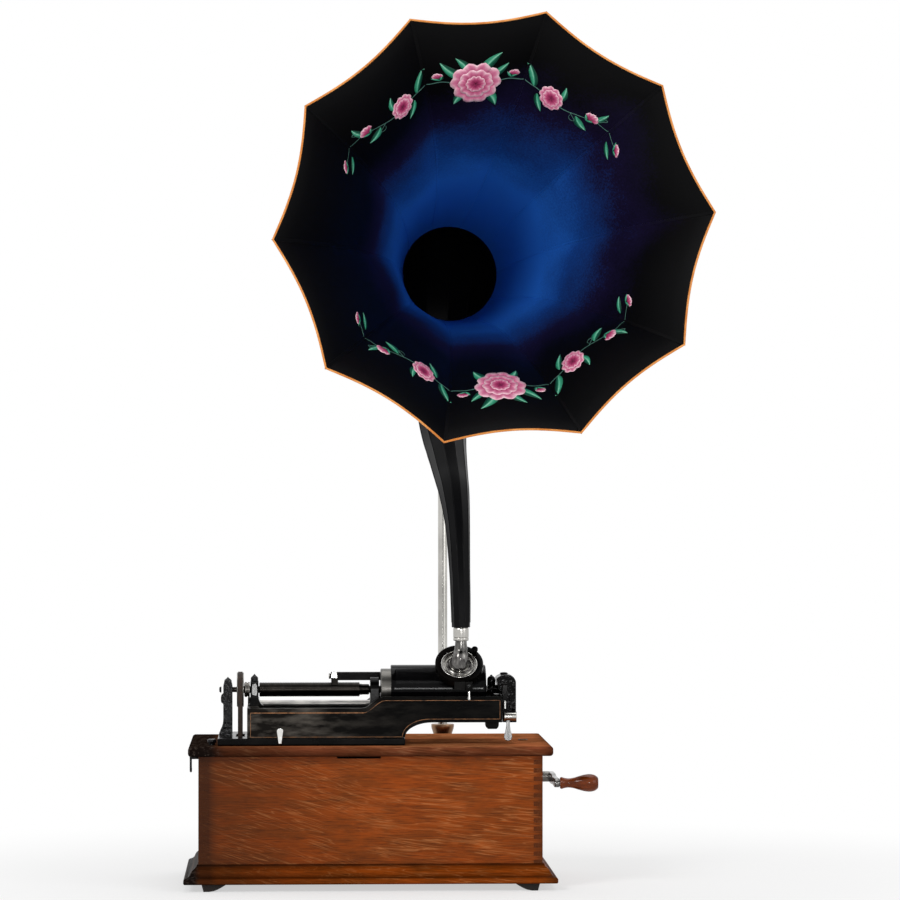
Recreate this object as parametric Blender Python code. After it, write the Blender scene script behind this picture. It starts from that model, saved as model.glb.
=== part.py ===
# Cylinder phonograph with a panelled swan-neck horn, in metres with +Z up.
# Everything is placed in the case's frame: X to the right, Y to the back, Z up from the floor under
# the case's centre. The last step stands the whole model on the centre of its own footprint.

import math
import bpy
import bmesh
from mathutils import Matrix, Vector

# Clearances
SEAT_GAP = 0.0003
RUNNING_GAP = 0.0004
OVERRUN = 0.006

# Facets of round pieces
FINE_SIDES = 24
ROUND_SIDES = 16
SMALL_SIDES = 12

# Case
CASE_LENGTH = 0.387
CASE_DEPTH = 0.210
CASE_TOP = 0.1505
WALL = 0.010
FINGER_COUNT = 29
FINGER_GAP = 0.00015
FOOT_HEIGHT = 0.008
FOOT_LENGTH = 0.027
FOOT_SOLE = 0.0085
FOOT_DEPTH = 0.030
FOOT_SIDE_INSET = 0.0205
FOOT_FRONT_INSET = 0.004
MOULDING_HEIGHT = 0.0215
MOULDING_REACH = 0.0165
BOTTOM_THICKNESS = 0.006
BOARD_OVERHANG = 0.0115
BOARD_MARGIN = 0.011
BOARD_THICKNESS = 0.011
BOARD_ROUND = 0.0035
NOTCH_LEFT = -0.038
NOTCH_RIGHT = 0.0114
NOTCH_DEPTH = 0.0025
FERRULE_INSET = 0.0281
FERRULE_Y = -0.010
FERRULE_RADIUS = 0.004
FERRULE_BORE = 0.0024

# The works keep their own frame: its zero lies this far in from the case's left side, and its floor
# height stands on the motor board
WORKS_INSET = 0.1935
WORKS_FLOOR = 0.1615

# Bed plate and body casting
BED_LEFT = -0.1722
BED_RIGHT = 0.039
BED_FRONT = -0.098
BED_BACK = 0.030
BED_THICKNESS = 0.0082
BED_ROUND = 0.0016
CAST_LEFT = -0.139
CAST_RIGHT = 0.1484
CAST_FRONT = -0.092
CAST_BACK = 0.024
CAST_LOW_TOP = 0.2035
CAST_HIGH_TOP = 0.2164
CAST_WALL = 0.006
CAST_LEFT_WALL = 0.013
STEP_START = -0.0097
STEP_END = 0.015
ARM_START = 0.0388
ARM_UNDERSIDE = 0.1872
ARM_BEND = 0.031
WEB_LEFT = 0.0005
WEB_RIGHT = 0.0108
WEB_TOP = 0.190
BOSS_LEFT = 0.130
BOSS_RIGHT = 0.145
BOSS_DROP = 0.0077
BOSS_DEPTH = 0.018
BOSS_SHARES = ((0, 1), (0, 0.4), (0.06, 0.16), (0.2, 0), (0.82, 0), (0.95, 0.16), (1, 0.4), (1, 1))
CURVE_SHARES = (0, 0.2, 0.4, 0.6, 0.8, 1)

# Arbor: feed screw, belt pulley, mandrel and record on one axis
ARBOR_Y = -0.038
ARBOR_Z = 0.222
SHAFT_LEFT = -0.1515
SHAFT_RIGHT = 0.1340
SHAFT_RADIUS = 0.004
SCREW_LEFT = -0.1255
SCREW_RIGHT = -0.010
SCREW_RADIUS = 0.0081
COLLAR_LEFT = -0.143
COLLAR_RIGHT = -0.1365
COLLAR_RADIUS = 0.0086
PULLEY_LEFT = -0.151
PULLEY_WIDTH = 0.0079
PULLEY_RADIUS = 0.0183
PULLEY_FLANGE = 0.0009
PULLEY_LIP = 0.0012
MANDREL_LEFT = 0.0125
MANDREL_RIGHT = 0.1325
MANDREL_SMALL_RADIUS = 0.0228
MANDREL_LARGE_RADIUS = 0.0236
RECORD_LEFT = 0.0240
RECORD_LENGTH = 0.108
RECORD_RADIUS = 0.0278
RECORD_EDGE = 0.0008
CONE_DEPTH = 0.0045
CONE_RADIUS = 0.0030

# Bearings and posts
POST_WIDTH = 0.0104
POST_DEPTH = 0.018
POST_LEFT = -0.1665
POST_TOP = 0.233
POST_FLARE = 0.0050
POST_BOSS = 0.0027
POST_FOOT = 0.0035
POST_TIP = 0.0033
BEARING_LEFT = -0.1357
BEARING_WIDTH = 0.0092
BEARING_DEPTH = 0.022
BEARING_SEAT = 0.186
BEARING_HEAD_RADIUS = 0.0105
BEARING_SPREAD_LEFT = 0.0018
BEARING_SPREAD_RIGHT = 0.0055
BEARING_SPREAD_HEIGHT = 0.0095
CAP_RADIUS = 0.0042
CAP_HEIGHT = 0.0075
MIDDLE_DEPTH = 0.030
MIDDLE_HEAD_RADIUS = 0.0135

# Guide rod and carriage
ROD_Y = 0.006
ROD_Z = 0.2035
ROD_RADIUS = 0.004
LUG_RADIUS = 0.0075
SLEEVE_LEFT = 0.066
SLEEVE_RIGHT = 0.116
SLEEVE_RADIUS = 0.0068
HUB_RADIUS = 0.0102
ARM_LEFT = 0.088
ARM_WIDTH = 0.026
ARM_INNER_RADIUS = 0.0365
ARM_THICKNESS = 0.0075
ARM_START_ANGLE = math.radians(-24)
ARM_END_ANGLE = math.radians(106)
RING_TILT = math.radians(46)
RING_DISTANCE = 0.0400
RING_X = 0.101
RING_RADIUS = 0.0273
RING_THICKNESS = 0.009
DISH_RADIUS = 0.0211
DISH_THICKNESS = 0.007
NECK_X = 0.103
NECK_Y = -0.070
NECK_RADIUS = 0.0062
NECK_FLARE = 0.0125
NECK_TOP = 0.2860
NECK_BORE = 0.0042
NECK_FOOT = 0.253
STYLUS_RADIUS = 0.0016
WEIGHT_LEFT = 0.0945
WEIGHT_WIDTH = 0.012
LUG_WIDTH = 0.008
WEIGHT_HEIGHT = 0.009
WEIGHT_DEPTH = 0.009
WEIGHT_Y = -0.0875
WEIGHT_Z = 0.2285
LIFT_X = 0.111
LIFT_Y = -0.0950
LIFT_TIP = 0.2118
LIFT_RADIUS = 0.0022
LIFT_EYE_RADIUS = 0.0042
LIFT_PIVOT_Z = 0.2265
KNOB_ANGLE = math.radians(42)
KNOB_RADIUS = 0.0036
KNOB_HEIGHT = 0.0075
NUT_LEFT = -0.0438
NUT_WIDTH = 0.0078
NUT_ARM_DEPTH = 0.008
NUT_ARM_BOTTOM = 0.2305
NUT_ARM_HEIGHT = 0.0095
NUT_DEPTH = 0.014
NUT_BOTTOM = 0.2262

# Horn: collar, elbow, throat ring, bell
COLLAR_BOTTOM = 0.2785
HORN_COLLAR_RADIUS = 0.0089
HORN_COLLAR_BORE = 0.0072
HORN_COLLAR_HEIGHT = 0.0150
SPIGOT_RADIUS = 0.0083
SPIGOT_HEIGHT = 0.010
HORN_WALL = 0.0007
HORN_SIDES = 10
ELBOW_START_RADIUS = 0.0105
ELBOW_BOTTOM = 0.2940
ELBOW_HEIGHT = 0.406
ELBOW_REACH = 0.178
ELBOW_TURN = math.radians(-5.1)
THROAT_RADIUS = 0.055
THROAT_BACK = 0.098
BELL_LENGTH = 0.381
BELL_YAW = math.radians(5.0)
BELL_PITCH = math.radians(4.7)
MOUTH_RADIUS = 0.238
MOUTH_DIP = 0.008
PANEL_GAP = 0.0003
SEAM_WIDTH = 0.0016
SEAM_HEIGHT = 0.0028
FIRST_SEAM = math.radians(4)
BELL_STATIONS = 9
PANEL_COLUMNS = 4
THROAT_RING_WIDTH = 0.010
THROAT_RING_THICKNESS = 0.0018
FLARE_START_SHARE = 0.35
FLARE_POWER = 3
# back and up along the elbow's plane, as shares of its reach and height, then the radius as a share
# of its growth from the collar to the throat
ELBOW_SHARES = (
    (0.000, 0.000, 0.000), (0.022, 0.080, 0.014), (0.067, 0.165, 0.028), (0.163, 0.283, 0.077),
    (0.331, 0.372, 0.154), (0.500, 0.424, 0.210), (0.661, 0.475, 0.265), (0.800, 0.520, 0.325),
    (0.910, 0.580, 0.390), (0.975, 0.660, 0.455), (1.000, 0.745, 0.530), (0.997, 0.825, 0.620),
    (0.943, 0.911, 0.745), (0.820, 0.968, 0.860), (0.672, 0.989, 0.950))
HANGER_STATION_SHARE = 0.5
HANGER_ANGLE = math.radians(94)
LOOP_WIDTH = 0.0190
LOOP_WIRE = 0.0016
LOOP_FOOT = 0.006
LOOP_SEAT = 0.0007
LOOP_SLACK = 0.0009
LOOP_STEPS = 7
HANGER_PANEL = 2.5

# Crane and its bracket
CRANE_X = 0.0905
CRANE_STANDOFF = 0.030
CRANE_RADIUS = 0.0055
CRANE_FOOT = 0.0853
CRANE_STRAIGHT = 0.430
CRANE_BOW = 0.052
CRANE_BOW_TOP = 0.580
CRANE_BEND_START = 0.770
CRANE_TOP = 0.8455
CRANE_OVERHANG = 0.0205
CRANE_BALL = 0.0085
SOCKET_RADIUS = 0.0105
SOCKET_FLARE = 0.0135
SOCKET_FLARE_HEIGHT = 0.012
SOCKET_TOP = 0.1715
SOCKET_BOTTOM = 0.078
BRACKET_LEFT = 0.066
BRACKET_WIDTH = 0.050
BRACKET_BOTTOM = 0.062
BRACKET_TOP = 0.146
BRACKET_PLATE = 0.005
BRACKET_WEB = 0.010

# End gate and its lock
GATE_LEFT = 0.1500
GATE_THICKNESS = 0.0055
GATE_FRONT = -0.074
GATE_BOTTOM = 0.186
GATE_TOP = 0.2305
GATE_HINGE_X = 0.1545
GATE_HINGE_Y = 0.0175
GATE_PIN_RADIUS = 0.003
KNUCKLE_RADIUS = 0.0055
KNUCKLE_HEIGHT = 0.010
GATE_HUB_RADIUS = 0.0050
GATE_CAP_X = 0.1391
GATE_CAP_RADIUS = 0.0048
GATE_LIFT = 0.0007
GATE_CAP_TOP = 0.2385
HOUSING_LEFT = 0.1440
HOUSING_RIGHT = 0.1660
HOUSING_TOP = 0.2395
HOUSING_FRONT = -0.062
HOUSING_BACK = -0.022
SLIT_LEFT = 0.1560
SLIT_WIDTH = 0.0023
SLIT_BOTTOM = 0.1992
SLIT_TOP = 0.2076
GATE_WINDOW_WIDTH = 0.016
GATE_WINDOW_HEIGHT = 0.020
GATE_ROUND = 0.0016
LOCK_LEFT = 0.1511
LOCK_LENGTH = 0.0144
LOCK_RADIUS = 0.0046
LOCK_Z = 0.193
LOCK_SEAT_TOP = 0.1982
LOCK_LEVER_X = 0.1560
LOCK_LEVER_BOTTOM = 0.1655
LOCK_LEVER_HALF = 0.0047
LOCK_LEVER_THICKNESS = 0.003

# Small controls
LEVER_X = -0.102
LEVER_WIDTH = 0.0074
LEVER_BOTTOM = 0.164
LEVER_TOP = 0.1815
LEVER_THICKNESS = 0.0016
LEVER_FRONT_GAP = 0.0008
SPEED_SIDE_INSET = 0.0147
SPEED_FRONT_INSET = 0.027
SPEED_HEAD = 0.0050
SPEED_SHANK = 0.002
SPEED_HEAD_HEIGHT = 0.0065
SPEED_DEPTH = 0.024
CATCH_Y = -0.060
CATCH_LENGTH = 0.016
CATCH_WIRE = 0.0013
CATCH_PIN = 0.0092
CATCH_DROP = 0.004

# Belt and motor
MOTOR_LEFT = -0.120
MOTOR_RIGHT = 0.052
PLATE_THICKNESS = 0.004
PLATE_FRONT = -0.066
PLATE_BACK = 0.074
PLATE_BOTTOM = 0.058
PLATE_DROP = 0.0007
TIE_SIZE = 0.010
DRIVE_Z = 0.098
BELT_THICKNESS = 0.0018
BELT_MARGIN = 0.0005
BELT_SLOT_MARGIN = 0.004
BARREL_RADIUS = 0.0285
BARREL_FLANGE = 0.0295
BARREL_FLANGE_WIDTH = 0.003
BARREL_SHARE = 0.62
GOVERNOR_Y = 0.052
GOVERNOR_Z = 0.088
GOVERNOR_SHAFT = 0.0022
GOVERNOR_DISK = 0.0145
GOVERNOR_DISK_WIDTH = 0.003
WEIGHT_COUNT = 3
WEIGHT_RADIUS = 0.0045
WEIGHT_ORBIT = 0.0095
WEIGHT_LENGTH = 0.012

# Crank
CRANK_Y = 0.0
CRANK_Z = 0.119
CRANK_SHAFT = 0.0045
CRANK_SLEEVE = 0.006
CRANK_STANDOFF = 0.0137
CRANK_ARM_THICKNESS = 0.006
CRANK_ARM_LENGTH = 0.0975
CRANK_ARM_HALF = 0.0062
CRANK_END_HALF = 0.0052
SPINDLE_RADIUS = 0.003
SPINDLE_SHY = 0.0006
HANDLE_LENGTH = 0.0430
HANDLE_RADIUS = 0.0100
HANDLE_NECK_SHARE = 0.52
ESCUTCHEON_RADIUS = 0.012
ESCUTCHEON_THICKNESS = 0.003

OAK = (0.42, 0.16, 0.05)
BLACK = (0.012, 0.012, 0.013)
NICKEL = (0.62, 0.60, 0.57)
STEEL = (0.40, 0.39, 0.38)
BRASS = (0.62, 0.44, 0.16)
LEATHER = (0.20, 0.08, 0.03)
REDWOOD = (0.30, 0.06, 0.02)
WAX = (0.02, 0.018, 0.016)
HORN_BLACK = (0.01, 0.012, 0.02)

BOARD_LENGTH = CASE_LENGTH + 2 * BOARD_OVERHANG
BOARD_DEPTH = CASE_DEPTH + 2 * BOARD_MARGIN
BOARD_TOP = CASE_TOP + BOARD_THICKNESS
FERRULE_X = BOARD_LENGTH / 2 - FERRULE_INSET
SPEED_X = SPEED_SIDE_INSET - CASE_LENGTH / 2
SPEED_Y = SPEED_FRONT_INSET - CASE_DEPTH / 2

# The works' frame in the case's, and the case's sides seen from the works
WORKS_X = WORKS_INSET - CASE_LENGTH / 2
WORKS_Z = BOARD_TOP - WORKS_FLOOR
RIGHT_SIDE = CASE_LENGTH / 2 - WORKS_X
BED_TOP = WORKS_FLOOR + SEAT_GAP + BED_THICKNESS
CAST_BOTTOM = BED_TOP + SEAT_GAP
PLATE_TOP = WORKS_FLOOR - BOARD_THICKNESS - PLATE_DROP
CRANE_Y = CASE_DEPTH / 2 + CRANE_STANDOFF
CRANK_ARM_LEFT = RIGHT_SIDE + CRANK_STANDOFF
LOCK_Y = GATE_FRONT - LOCK_RADIUS - SEAT_GAP


def clear_scene():
    for thing in list(bpy.data.objects):
        bpy.data.objects.remove(thing, do_unlink=True)


def material(name, colour, roughness, metallic):
    finish = bpy.data.materials.new(name)
    finish.use_nodes = True
    shader = finish.node_tree.nodes["Principled BSDF"]
    shader.inputs["Base Color"].default_value = (*colour, 1)
    shader.inputs["Roughness"].default_value = roughness
    shader.inputs["Metallic"].default_value = metallic
    finish.diffuse_color = (*colour, 1)
    return finish


def axis_empty(name, parent, place):
    """An empty on a joint's axis; pieces under it have their origins there."""
    empty = bpy.data.objects.new(name, None)
    bpy.context.collection.objects.link(empty)
    empty["place"] = place
    empty.parent = parent
    above = Vector(parent["place"]) if parent else Vector()
    empty.location = Vector(place) - above
    return empty


def piece(name, bm, parent, look):
    """Turns a bmesh drawn in the case's frame into an object under its axis."""
    bmesh.ops.remove_doubles(bm, verts=bm.verts, dist=1e-7)
    bmesh.ops.recalc_face_normals(bm, faces=bm.faces)
    bmesh.ops.translate(bm, verts=bm.verts, vec=-Vector(parent["place"]))
    mesh = bpy.data.meshes.new(name)
    bm.to_mesh(mesh)
    bm.free()
    mesh.shade_smooth()
    mesh.set_sharp_from_angle(angle=math.radians(35))
    made = bpy.data.objects.new(name, mesh)
    bpy.context.collection.objects.link(made)
    made.parent = parent
    if look:
        mesh.materials.append(material(name, *look))
    return made


def hidden(cutter):
    cutter.hide_render = True
    cutter.display_type = "WIRE"
    return cutter


def boolean(target, bm, operation):
    """Cuts or joins a shape drawn in the case's frame."""
    number = len(target.modifiers)
    tool = hidden(piece(f"{target.name}_tool_{number}", bm, target.parent, None))
    modifier = target.modifiers.new(f"{operation.lower()}_{number}", "BOOLEAN")
    modifier.operation = operation
    modifier.object = tool


def cut(target, *shapes):
    for shape in shapes:
        boolean(target, shape, "DIFFERENCE")


def fuse(target, *shapes):
    for shape in shapes:
        boolean(target, shape, "UNION")


def rounded(made, width, segments=2):
    modifier = made.modifiers.new("rounding", "BEVEL")
    modifier.width = width
    modifier.segments = segments
    modifier.limit_method = "ANGLE"
    modifier.angle_limit = math.radians(40)


def block(x_pair, y_pair, z_pair):
    bm = bmesh.new()
    bmesh.ops.create_cube(bm, size=1)
    for vert in bm.verts:
        for index, (low, high) in enumerate((x_pair, y_pair, z_pair)):
            vert.co[index] = high if vert.co[index] > 0 else low
    return bm


def prism(outline, start, end, normal="Y"):
    """An outline drawn in the plane across the named axis, extruded from start to end."""
    bm = bmesh.new()
    order = {"X": lambda u, v, w: (w, u, v),
             "Y": lambda u, v, w: (u, w, v),
             "Z": lambda u, v, w: (u, v, w)}
    place = order[normal]
    face = bm.faces.new([bm.verts.new(place(u, v, start)) for u, v in outline])
    raised = bmesh.ops.extrude_face_region(bm, geom=[face])
    moved = [item for item in raised["geom"] if isinstance(item, bmesh.types.BMVert)]
    bmesh.ops.translate(bm, verts=moved, vec=place(0, 0, end - start))
    return bm


def turned(profile, origin, direction=(0, 0, 1), sides=ROUND_SIDES):
    """Spins a profile of (distance along, radius); one that ends off the axis closes on itself."""
    bm = bmesh.new()
    verts = [bm.verts.new((radius, 0, along)) for along, radius in profile]
    edges = [bm.edges.new(pair) for pair in zip(verts, verts[1:])]
    if profile[0][1] > 0:
        edges.append(bm.edges.new((verts[-1], verts[0])))
    bmesh.ops.spin(bm, geom=verts + edges, cent=(0, 0, 0), axis=(0, 0, 1), angle=math.tau,
                   steps=sides, use_merge=True)
    bmesh.ops.remove_doubles(bm, verts=bm.verts, dist=1e-7)
    turn = Vector((0, 0, 1)).rotation_difference(Vector(direction)).to_matrix().to_4x4()
    bmesh.ops.transform(bm, matrix=Matrix.Translation(origin) @ turn, verts=bm.verts)
    return bm


def rod(start, end, radius, sides=ROUND_SIDES):
    start = Vector(start)
    run = Vector(end) - start
    return turned([(0, 0), (0, radius), (run.length, radius), (run.length, 0)], start, run, sides)


def bore(radius, sides=ROUND_SIDES):
    """The radius of a faceted hole that clears a shaft however the shaft is turned."""
    return (radius + RUNNING_GAP) / math.cos(math.pi / sides)


def lofted(sections, closed_run=False):
    """Joins closed sections of equal count, capped at both ends unless the run closes."""
    bm = bmesh.new()
    rings = [[bm.verts.new(point) for point in section] for section in sections]
    pairs = list(zip(rings, rings[1:]))
    if closed_run:
        pairs.append((rings[-1], rings[0]))
    for ring, following in pairs:
        for index in range(len(ring)):
            beside = (index + 1) % len(ring)
            bm.faces.new((ring[index], ring[beside], following[beside], following[index]))
    if not closed_run:
        bm.faces.new(list(reversed(rings[0])))
        bm.faces.new(rings[-1])
    return bm


def smooth_route(points, steps):
    """Catmull-Rom points through the route's own points, of any dimension."""
    route = [tuple(2 * a - b for a, b in zip(points[0], points[1])), *points]
    route.append(tuple(2 * a - b for a, b in zip(points[-1], points[-2])))
    made = []
    for index in range(1, len(route) - 2):
        p0, p1, p2, p3 = route[index - 1:index + 3]
        for step in range(steps):
            t = step / steps
            made.append(tuple(
                0.5 * (2 * b + (c - a) * t + (2 * a - 5 * b + 4 * c - d) * t ** 2
                       + (3 * b - a - 3 * c + d) * t ** 3)
                for a, b, c, d in zip(p0, p1, p2, p3)))
    made.append(points[-1])
    return made


def rings_along(path, radii, sides, across, first_angle=0.0):
    """Circles of points square to a path that lies in the plane at right angles to across."""
    rings = []
    for index, centre in enumerate(path):
        ahead = path[min(index + 1, len(path) - 1)] - path[max(index - 1, 0)]
        up = ahead.normalized().cross(across).normalized()
        rings.append([
            centre + radii[index] * (math.cos(first_angle + math.tau * k / sides) * across
                                     + math.sin(first_angle + math.tau * k / sides) * up)
            for k in range(sides)])
    return rings


def tube_shell(outer, inner):
    """A pipe with open ends, from its outer and its inner rings."""
    return lofted([*outer, *reversed(inner)], closed_run=True)


# Case

def comb_outline(length, low, high, first_is_finger):
    """A panel's outline with fingers at both ends; length is its full length over the fingers."""
    pitch = (high - low) / FINGER_COUNT
    half = length / 2
    side = []
    for index in range(FINGER_COUNT):
        out = (index % 2 == 0) == first_is_finger
        reach = half if out else half - WALL - FINGER_GAP
        inset = FINGER_GAP if out else -FINGER_GAP
        bottom = low if index == 0 else low + index * pitch + inset
        top = high if index == FINGER_COUNT - 1 else low + (index + 1) * pitch - inset
        side += [(reach, bottom), (reach, top)]
    return side + [(-x, z) for x, z in reversed(side)]


def make_case(root):
    half_x, half_y = CASE_LENGTH / 2, CASE_DEPTH / 2
    floor = FOOT_HEIGHT + BOTTOM_THICKNESS
    low, high = floor + SEAT_GAP, CASE_TOP - SEAT_GAP
    bottom = block((-half_x, half_x), (-half_y, half_y), (FOOT_HEIGHT, floor))
    piece("bottom_board", bottom, root, (OAK, 0.5, 0))

    long_panel = comb_outline(CASE_LENGTH, low, high, True)
    short_panel = comb_outline(CASE_DEPTH, low, high, False)
    front = piece("front_panel", prism(long_panel, -half_y, -half_y + WALL), root, (OAK, 0.35, 0))
    cut(front, block((NOTCH_LEFT, NOTCH_RIGHT), (-half_y - OVERRUN, -half_y + WALL + OVERRUN),
                     (high - NOTCH_DEPTH, high + OVERRUN)))
    piece("back_panel", prism(long_panel, half_y - WALL, half_y), root, (OAK, 0.35, 0))
    piece("left_panel", prism(short_panel, -half_x, -half_x + WALL, "X"), root, (OAK, 0.35, 0))
    right = piece("right_panel", prism(short_panel, half_x - WALL, half_x, "X"), root, (OAK, 0.35, 0))
    crank_z = CRANK_Z + WORKS_Z
    hole = (half_x - WALL - OVERRUN, CRANK_Y, crank_z), (half_x + OVERRUN, CRANK_Y, crank_z)
    cut(right, rod(*hole, bore(CRANK_SLEEVE)))

    # the base moulding's ogee, as shares of its reach and height from the bottom up
    ogee = ((0.93, 0), (1, 0.05), (1, 0.24), (0.90, 0.31), (0.70, 0.36), (0.56, 0.46), (0.50, 0.58),
            (0.40, 0.71), (0.24, 0.81), (0.13, 0.88), (0.13, 0.94), (0.07, 1))
    profile = [(SEAT_GAP, 0)] + [(out * MOULDING_REACH, up * MOULDING_HEIGHT) for out, up in ogee]
    profile.append((SEAT_GAP, MOULDING_HEIGHT))
    frames = [[(sx * (half_x + out), sy * (half_y + out), FOOT_HEIGHT + up)
               for sx, sy in ((1, 1), (-1, 1), (-1, -1), (1, -1))] for out, up in profile]
    piece("base_moulding", lofted(frames, closed_run=True), root, (OAK, 0.35, 0))

    # shaped feet: a short sole under the corner and a hollow curve rising inwards to the moulding
    reach_x = half_x + MOULDING_REACH - FOOT_SIDE_INSET
    reach_y = half_y + MOULDING_REACH - FOOT_FRONT_INSET
    foot_top = FOOT_HEIGHT - SEAT_GAP
    hollow_shares = ((0, 0), (0.28, 0.12), (0.52, 0.34), (0.75, 0.64), (1, 1))
    for name, sx, sy in (("front_left", -1, -1), ("front_right", 1, -1),
                         ("back_left", -1, 1), ("back_right", 1, 1)):
        shape = [(0, foot_top), (FOOT_FRONT_INSET / 2, 0)]
        shape += [(FOOT_SOLE + (FOOT_LENGTH - FOOT_SOLE) * along, foot_top * up)
                  for along, up in hollow_shares]
        outline = [(sx * (reach_x - inward), up) for inward, up in shape]
        ys = sorted((sy * reach_y, sy * (reach_y - FOOT_DEPTH)))
        piece(f"foot_{name}", prism(outline, *ys), root, (BLACK, 0.7, 0))

    board = piece("motor_board", block((-BOARD_LENGTH / 2, BOARD_LENGTH / 2),
                                       (-BOARD_DEPTH / 2, BOARD_DEPTH / 2), (CASE_TOP, BOARD_TOP)),
                  root, (OAK, 0.3, 0))
    rounded(board, BOARD_ROUND, 3)
    cut(board, belt_slot(CASE_TOP, BOARD_TOP, WORKS_X),
        rod((FERRULE_X, FERRULE_Y, CASE_TOP - OVERRUN), (FERRULE_X, FERRULE_Y, BOARD_TOP + OVERRUN),
            FERRULE_RADIUS, SMALL_SIDES),
        rod((SPEED_X, SPEED_Y, CASE_TOP - OVERRUN), (SPEED_X, SPEED_Y, BOARD_TOP + OVERRUN),
            bore(SPEED_SHANK, SMALL_SIDES), SMALL_SIDES))
    depth = BOARD_THICKNESS + SEAT_GAP
    outer = FERRULE_RADIUS - SEAT_GAP
    rim = FERRULE_RADIUS + FERRULE_RADIUS - FERRULE_BORE
    ferrule = turned([(0, FERRULE_BORE), (0, outer), (depth, outer), (depth, rim),
                      (depth + PULLEY_FLANGE, rim), (depth + PULLEY_FLANGE, FERRULE_BORE)],
                     (FERRULE_X, FERRULE_Y, CASE_TOP), sides=SMALL_SIDES)
    piece("board_ferrule", ferrule, root, (BRASS, 0.3, 1))

    escutcheon = turned([(0, bore(CRANK_SLEEVE)), (0, ESCUTCHEON_RADIUS),
                         (ESCUTCHEON_THICKNESS / 2, ESCUTCHEON_RADIUS),
                         (ESCUTCHEON_THICKNESS, ESCUTCHEON_RADIUS - ESCUTCHEON_THICKNESS / 2),
                         (ESCUTCHEON_THICKNESS, bore(CRANK_SLEEVE))],
                        (half_x + SEAT_GAP, CRANK_Y, crank_z), (1, 0, 0))
    piece("crank_escutcheon", escutcheon, root, (NICKEL, 0.25, 1))


# The two runs of the belt pass through one slot in each plate
def belt_slot(low, high, offset=0):
    reach = PULLEY_RADIUS + BELT_THICKNESS + BELT_SLOT_MARGIN
    middle = offset + PULLEY_LEFT + PULLEY_WIDTH / 2
    half = PULLEY_WIDTH / 2 + BELT_MARGIN
    return block((middle - half, middle + half), (ARBOR_Y - reach, ARBOR_Y + reach),
                 (low - OVERRUN, high + OVERRUN))


# Bed plate, casting, bearings

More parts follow.
